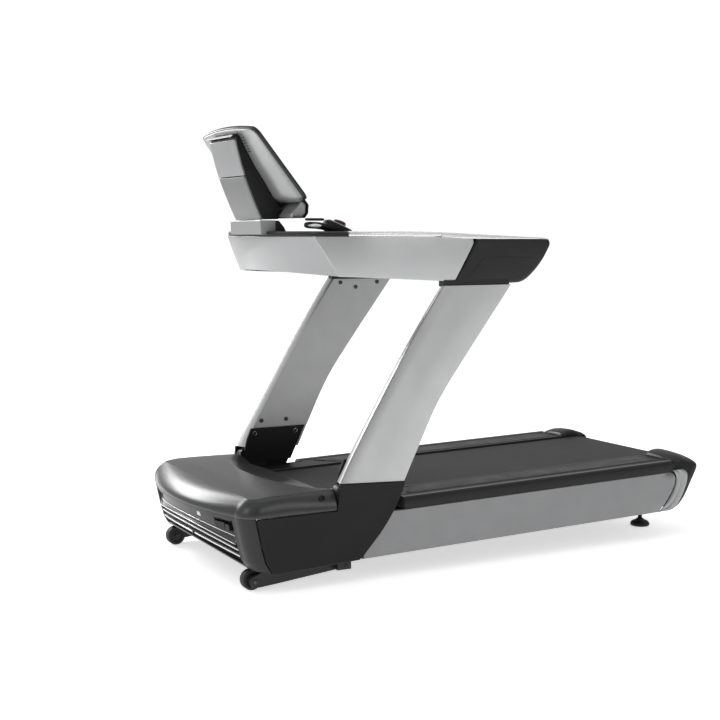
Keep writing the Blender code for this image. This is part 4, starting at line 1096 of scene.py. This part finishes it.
def grip(tag, s):
    """Dark grip moulding round the arm's end, with a raised S-shaped crease."""
    line = []
    n = len(GRIP_OUTLINE)
    for i in range(n):
        a, b, c, d = (Vector((*GRIP_OUTLINE[(i + k) % n], 0)) for k in (-1, 0, 1, 2))
        for j in range(7):
            t = j / 7
            bend = 0.35 if (c - b).length > 0.07 else 0.5
            line.append(mix(b, c, t) + (((c - a) * bend - (c - b) * 2 * bend) * t * (1 - t) ** 2
                                        - ((d - b) * bend - (c - b) * 2 * bend) * t * t * (1 - t)))
    cx, cz = 0.08, 1.13
    loops = []
    for y, inset in ((0.384, 0.014), (0.3846, 0.009), (0.3866, 0.005), (0.3905, 0.0018),
                     (0.397, 0.0), (0.422, 0.0), (0.451, 0.0), (0.4565, 0.001),
                     (0.4598, 0.0034), (0.4616, 0.007), (0.4622, 0.012)):
        loop = []
        for p in line:
            dx, dz = p.x - cx, p.y - cz
            reach = max(abs(dx) / 0.2, abs(dz) / 0.08, 0.2)
            loop.append((p.x - dx / reach / 0.2 * inset, s * y, p.y - dz / reach / 0.08 * inset))
        loops.append(loop)
    piece("grip_" + tag, loft_bm(loops), "charcoal", stands=["arm_grip_" + tag], limit=50)
    crease = smooth_line([(-0.093, 1.066), (-0.055, 1.1), (-0.03, 1.128), (0.0, 1.139),
                          (0.06, 1.141), (0.135, 1.139), (0.2, 1.136)], 40)
    tube = tube_bm([(x, s * 0.462, z) for x, z in crease], 0.0013)
    piece("grip_crease_" + tag, tube, "black")


# ---- front cowl and dashboard
COWL_LOW = 1.092                 # lower edge of the cowl at its middle


def cowl_x(y):
    return -0.757 + 0.528 * y * y


def build_cowl():
    rows = []
    for i in range(-24, 25):
        u, s = abs(i) / 24, (-1 if i < 0 else 1)
        row = []
        for k in range(13):
            t = k / 12
            x1 = mix(-0.6755, -0.5955, t)
            z1 = mix(ARM_TOP, arm_low(x1) + 0.001, t)
            x0 = cowl_x(0) + 0.034 * t ** 1.5
            z = mix(ARM_TOP, mix(COWL_LOW, arm_low(x1) + 0.001, u * u), t)
            row.append((mix(x0, x1, u * u), s * side_y(x1, z1) * u, z))
        rows.append(row)
    # cowl in the darker copy of the arms' silver: painted shade
    piece("cowl_skin", sheet_bm(rows), "cowl", stands=["front_cowl"], limit=40, thick=0.01,
          away=(-0.5, 0, 1.16), edge=0.0018)


def ring_line(setback, half, rear_x, arms):
    pts = [(cowl_x(half * i / 16) + setback, half * i / 16) for i in range(-16, 17)]
    pts += arms
    pts += [(rear_x - 0.9 * y * y, y) for y in spread(0.26, -0.26, 15)]
    return pts + [(x, -y) for x, y in arms[::-1]]


DASH_WIDE = [(-0.64, 0.403), (-0.6, 0.419), (-0.561, 0.4295), (-0.5605, 0.378), (-0.436, 0.376)]
DASH_STEP = [(-0.638, 0.4005), (-0.6, 0.416), (-0.564, 0.4265), (-0.5635, 0.376), (-0.438, 0.374)]
DASH_LIP = [(-0.628, 0.362), (-0.6, 0.366), (-0.58, 0.368), (-0.56, 0.36), (-0.452, 0.352)]
DASH_DISH = [(-0.62, 0.342), (-0.598, 0.345), (-0.58, 0.346), (-0.56, 0.344), (-0.468, 0.332)]
DASH_UNDER = [(-0.6, 0.35), (-0.59, 0.352), (-0.575, 0.352), (-0.56, 0.351), (-0.44, 0.345)]


# height, setback behind the cowl, half width, rear edge, outline beside the arms
DASH_RINGS = [
    (1.214, 0.034, 0.345, -0.35, DASH_UNDER), (1.2172, 0.01, 0.372, -0.345, DASH_WIDE),
    (1.2178, 0.006, 0.374, -0.344, DASH_WIDE), (1.2238, 0.0056, 0.374, -0.344, DASH_WIDE),
    (1.2246, 0.0082, 0.372, -0.346, DASH_STEP), (1.226, 0.0082, 0.372, -0.346, DASH_STEP),
    (1.2268, 0.005, 0.374, -0.344, DASH_WIDE), (1.2318, 0.0054, 0.374, -0.344, DASH_WIDE),
    (1.2342, 0.007, 0.373, -0.345, DASH_STEP), (1.2352, 0.011, 0.37, -0.348, DASH_STEP),
    (1.2354, 0.024, 0.346, -0.39, DASH_LIP), (1.2344, 0.0275, 0.342, -0.396, DASH_LIP),
    (1.226, 0.033, 0.332, -0.408, DASH_DISH), (1.2236, 0.036, 0.328, -0.412, DASH_DISH),
    (1.223, 0.042, 0.32, -0.418, DASH_DISH),
]


def build_dash():
    loops = [[(x + (0.03 if x < -0.6 else -0.02), y * 0.93, 1.16) for x, y in
              ring_line(0.034, 0.345, -0.35, DASH_UNDER)]]
    loops += [[(x, y, z) for x, y in ring_line(*shape)] for z, *shape in DASH_RINGS]
    piece("dash_body", loft_bm(loops), "bezel", stands=["dash_tray"], limit=40)
    # ribbed mat in the dish
    bm = bmesh.new()
    for i in range(9):
        x = -0.64 + 0.02 * i
        line = [(x, y, 1.2234) for y in spread(-0.235, 0.235, 9)]
        tube_bm(line, 0.0022, 8, flat=0.5, bm=bm)
    piece("dash_mat", bm, "black", limit=60)
    tilt = math.radians(20)
    axis = (math.sin(tilt), 0.0, math.cos(tilt))
    spot = (-0.383, 0.0, 1.244)
    collar = turned_bm([(0.0345, -0.016), (0.0345, 0.0045), (0.0338, 0.007), (0.0318, 0.0088),
                        (0.0285, 0.009), (0.0275, 0.008), (0.0272, 0.005), (0.0004, 0.005)],
                       spot, axis, 56)
    piece("stop_collar", collar, "black", limit=45)
    cap = turned_bm([(0.02, 0.008), (0.0215, 0.0135), (0.0248, 0.015), (0.026, 0.0178),
                     (0.026, 0.025), (0.025, 0.0282), (0.0222, 0.0308), (0.018, 0.0324),
                     (0.0125, 0.0329), (0.0112, 0.032), (0.005, 0.0314), (0.0004, 0.0313)],
                    spot, axis, 56)
    piece("stop_cap", cap, "stop", "stop_button", stands=["stop_button"], limit=45)
    for tag, s in SIDES:
        pod(tag, s)


POD_HEAD = [(-0.666, 0.006, 1.254, 1.26), (-0.664, 0.012, 1.25, 1.264),
            (-0.658, 0.018, 1.2465, 1.2672), (-0.646, 0.022, 1.2448, 1.2686),
            (-0.62, 0.024, 1.2435, 1.2676), (-0.597, 0.024, 1.2405, 1.2648),
            (-0.588, 0.024, 1.2385, 1.266), (-0.583, 0.0235, 1.2345, 1.276),
            (-0.57, 0.0228, 1.227, 1.277), (-0.54, 0.02, 1.2238, 1.2648),
            (-0.51, 0.0172, 1.2236, 1.251), (-0.49, 0.0152, 1.2236, 1.2415),
            (-0.482, 0.013, 1.2236, 1.2345), (-0.48, 0.009, 1.2236, 1.229)]


def pod(tag, s):
    """Thumb pod: rounded dark head with a bright lens, and a sloped foot behind it."""
    y0 = s * 0.3
    loops = [[(x, y0 + w * c, (zb + zt) / 2 + (zt - zb) / 2 * d) for c, d in round_line(28, 0.62)]
             for x, w, zb, zt in POD_HEAD]
    piece("pod_body_" + tag, loft_bm(loops), "black", stands=["control_pod_" + tag], limit=50)
    lens = [[(-0.634 + 0.0285 * k * c, y0 + s * (0.0222 + out), 1.2545 + 0.0066 * k * d)
             for c, d in round_line(32)] for out, k in
            ((-0.004, 1.0), (0.0, 1.0), (0.001, 0.93), (0.0018, 0.75), (0.0022, 0.4))]
    piece("pod_lens_" + tag, loft_bm(lens), "trim", limit=60)
    for end, side in (("a", -1), ("b", 1)):
        edge = [(x, y0 + side * w * 0.8, mix(zb, zt, 0.93)) for x, w, zb, zt in POD_HEAD[8:13]]
        piece("pod_edge_%s_%s" % (tag, end), tube_bm(smooth_line(edge, 14), 0.0016), "trim")
    low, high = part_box("pod_paddle_" + tag)
    cx, cy = (low.x + high.x) / 2, (low.y + high.y) / 2
    half_x, half_y = (high.x - low.x) / 2, (high.y - low.y) / 2
    loops = [[(cx + half_x * k * c, cy + half_y * k * d, z) for c, d in round_line(36, 0.5)]
             for z, k in ((low.z, 0.86), (low.z + 0.0012, 0.96), (low.z + 0.003, 1.0),
                          (high.z - 0.0035, 1.0), (high.z - 0.0012, 0.95),
                          (high.z - 0.0002, 0.84), (high.z - 0.0012, 0.55),
                          (high.z - 0.0018, 0.2))]
    piece("paddle_key_" + tag, loft_bm(loops), "black", "pod_paddle_" + tag,
          stands=["pod_paddle_" + tag], limit=50)


# ---- console
(DX0, DZ0), (DX1, DZ1) = DISPLAY_LOW, DISPLAY_TOP
SLAB = math.hypot(DX1 - DX0, DZ1 - DZ0)
RISE_X, RISE_Z = (DX1 - DX0) / SLAB, (DZ1 - DZ0) / SLAB


def slab_point(y, t, d):
    """Point on the display: across, up its slope, and back from its glass."""
    return (DX0 + RISE_X * t - RISE_Z * d, y, DZ0 + RISE_Z * t + RISE_X * d)


def display_ring(inset, count=12):
    half, low, r = DISPLAY_HALF - inset, 0.002 + inset, 0.027 - inset * 0.5

    def top(y):
        return SLAB + 0.019 * (1 - (y / 0.25) ** 2) - inset
    under, over = [], []
    for i in range(1, 8):
        a = math.radians(-90 + 90 * i / 8)
        under.append((half - r + r * math.cos(a), low + r + r * math.sin(a)))
        a = math.radians(90 * i / 8)
        y = half - r + r * math.cos(a)
        over.append((y, top(y) - r + r * math.sin(a)))
    pts = [(y, low) for y in spread(-half + r, half - r, count)] + under
    pts += [(half, t) for t in spread(low + r, top(half) - r, count)] + over
    pts += [(y, top(y)) for y in spread(half - r, -half + r, count * 2)]
    pts += [(-y, t) for y, t in over[::-1]]
    pts += [(-half, t) for t in spread(top(half) - r, low + r, count)]
    return pts + [(-y, t) for y, t in under[::-1]]


def display_loops(steps):
    return [[slab_point(y, t, d) for y, t in display_ring(inset)] for inset, d in steps]


DISPLAY_DOME = [(0.0, 0.052), (0.02, 0.056), (0.06, 0.058), (0.13, 0.049), (0.19, 0.044),
                (0.25, 0.034), (0.3, 0.025), (0.345, 0.022)]


def build_console():
    steps = [(0.0, 0.0042), (0.0, 0.0014), (0.0006, 0.0004), (0.0018, 0.0), (0.01, 0.0),
             (0.0106, 0.001), (0.0106, 0.0042)]
    piece("display_frame", loft_bm(display_loops(steps), closed=True), "black",
          limit=40)
    piece("display_glass", loft_bm(display_loops([(0.0104, 0.004), (0.0104, 0.0009)])), "screen",
          stands=["display_screen"], limit=40)
    steps = [(0.0012, 0.0036), (0.0012, 0.005), (0.0, 0.0056), (0.0, 0.0125), (0.001, 0.014),
             (0.003, 0.015), (0.0044, 0.0146), (0.006, 0.0146)]
    piece("display_band", loft_bm(display_loops(steps)), "bezel", limit=35)
    ring = display_ring(0.005)
    loops = [[slab_point(y, t, 0.0145) for y, t in ring]]
    for scale, part in ((1.0, 0.02), (0.995, 0.22), (0.985, 0.34), (0.965, 0.42), (0.93, 0.52),
                        (0.88, 0.66), (0.82, 0.8), (0.75, 0.92), (0.66, 1.0), (0.5, 1.0),
                        (0.3, 1.0), (0.1, 1.0)):
        loop = []
        for y, t in ring:
            tt = mix(SLAB * 0.47, t, scale)
            loop.append(slab_point(y * scale, tt, mix(0.0145, along(DISPLAY_DOME, tt), part)))
        loops.append(loop)
    piece("display_back", loft_bm(loops), "shell", stands=["display_shell"], limit=50)
    chin = [slab_point(0, -0.0005, 0.0105), slab_point(0, -0.0005, 0.047), (-0.6795, 0, 1.2935),
            (-0.676, 0, 1.2818), (-0.629, 0, 1.2822), (-0.618, 0, 1.301), (-0.616, 0, 1.33)]
    loops = [[(x + inset * (-1 if x > -0.64 else 0.4), y, z + inset * (1 if z < 1.3 else 0))
              for x, _, z in chin] for y, inset in
             ((-0.215, 0.01), (-0.2125, 0.004), (-0.206, 0.0), (0.206, 0.0), (0.2125, 0.004),
              (0.215, 0.01))]
    piece("chin_shell", loft_bm(loops), "shell", stands=["display_chin"], limit=30, edge=0.003)
    face = [slab_point(0, -0.0005, 0.001), slab_point(0, -0.0005, 0.01), (-0.6155, 0, 1.3298),
            (-0.6175, 0, 1.301), (-0.6285, 0, 1.2822), (-0.6245, 0, 1.2824), (-0.611, 0, 1.2992),
            (-0.609, 0, 1.33)]
    loops = [[(x, y, z) for x, _, z in face] for y in (-0.215, -0.212, 0.212, 0.215)]
    piece("chin_face", loft_bm(loops), "black", limit=30, edge=0.0012)
    # vent slots on the back
    bm = bmesh.new()
    for i in range(7):
        t = 0.245 + 0.011 * i
        for s in (-1, 1):
            deep = along(DISPLAY_DOME, t) * 0.985 + 0.0006
            line = [slab_point(s * y, t, deep) for y in (0.128, 0.15)]
            tube_bm(line, 0.0016, 6, bm=bm)
    piece("display_vents", bm, "black")
    post()


JOINT_Y = 0.1203                 # seam between the post's plates, at their ends


def post():
    """Console post: two bowed front plates, light foot block and a charcoal wedge behind, whose
    dark colour is painted shade for the block's shaded side.
    """
    half = POST_HALF - 0.001
    for name, pts in (("lower", [(-0.756, 1.276), (-0.768, 1.301), (-0.78, 1.327),
                                 (-0.803, 1.38), (-0.8228, 1.4305)]),
                      ("upper", [(-0.8235, 1.4326), (-0.838, 1.478), (-0.85, 1.523),
                                 (-0.859, 1.558)])):
        line = smooth_line(pts, 15)
        rows = []
        for p in line:
            dip = 0.0025 if name == "lower" and p is line[-1] else 0.0
            row = []
            for y in spread(-half, half, 21):
                bow = 0.0035 * (1 - (y / half) ** 2) + 0.003 * ((abs(y) / half) ** 10)
                row.append((p.x + 0.0038 - bow + 0.004 * (abs(y) / half) ** 24, y,
                            p.y - dip * (1 - (y / half) ** 2)))
            rows.append(row)
        piece("post_plate_" + name, sheet_bm(rows), "post" if name == "upper" else "post_low",
              stands=["post_front_" + name], limit=40, thick=0.008, away=(-0.7, 0, 1.4),
              edge=0.0014)
    base = [(-0.764, 1.224), (-0.7662, 1.272), (-0.765, 1.2745), (-0.706, 1.2745),
            (-0.7052, 1.224)]
    loops = [[(x + inset * (1 if x < -0.73 else -0.2), y, z - (inset if z > 1.27 else 0))
              for x, z in base]
             for y, inset in ((-0.14, 0.003), (-0.139, 0.001), (-0.137, 0.0), (0.137, 0.0),
                              (0.139, 0.001), (0.14, 0.003))]
    piece("post_foot", loft_bm(loops), "base", stands=["post_base"], limit=40, edge=0.0012)
    # rear of the foot block in charcoal: painted shade for its shaded side face
    wedge = [(-0.7046, 1.224), (-0.7046, 1.2735), (-0.69, 1.2735), (-0.67, 1.25), (-0.664, 1.238),
             (-0.66, 1.224)]
    loops = [[(x, y, z - inset * (z > 1.23)) for x, z in wedge]
             for y, inset in ((-0.138, 0.003), (-0.135, 0.0), (0.135, 0.0), (0.138, 0.003))]
    piece("post_wedge_painted_shade", loft_bm(loops), "charcoal", limit=40, edge=0.002)
    for tag, s in SIDES:
        joint = [(-0.8205, s * JOINT_Y, 1.431), (-0.8, s * JOINT_Y, 1.4405),
                 (-0.772, s * JOINT_Y, 1.456)]
        piece("post_joint_" + tag, tube_bm(joint, 0.0008, 6), "rubber")


camera()
studio()
repaint()
build_hood()
build_fascia()
build_covers()
build_deck()
build_uprights()
build_running_gear()
build_arms()
build_cowl()
build_dash()
build_console()
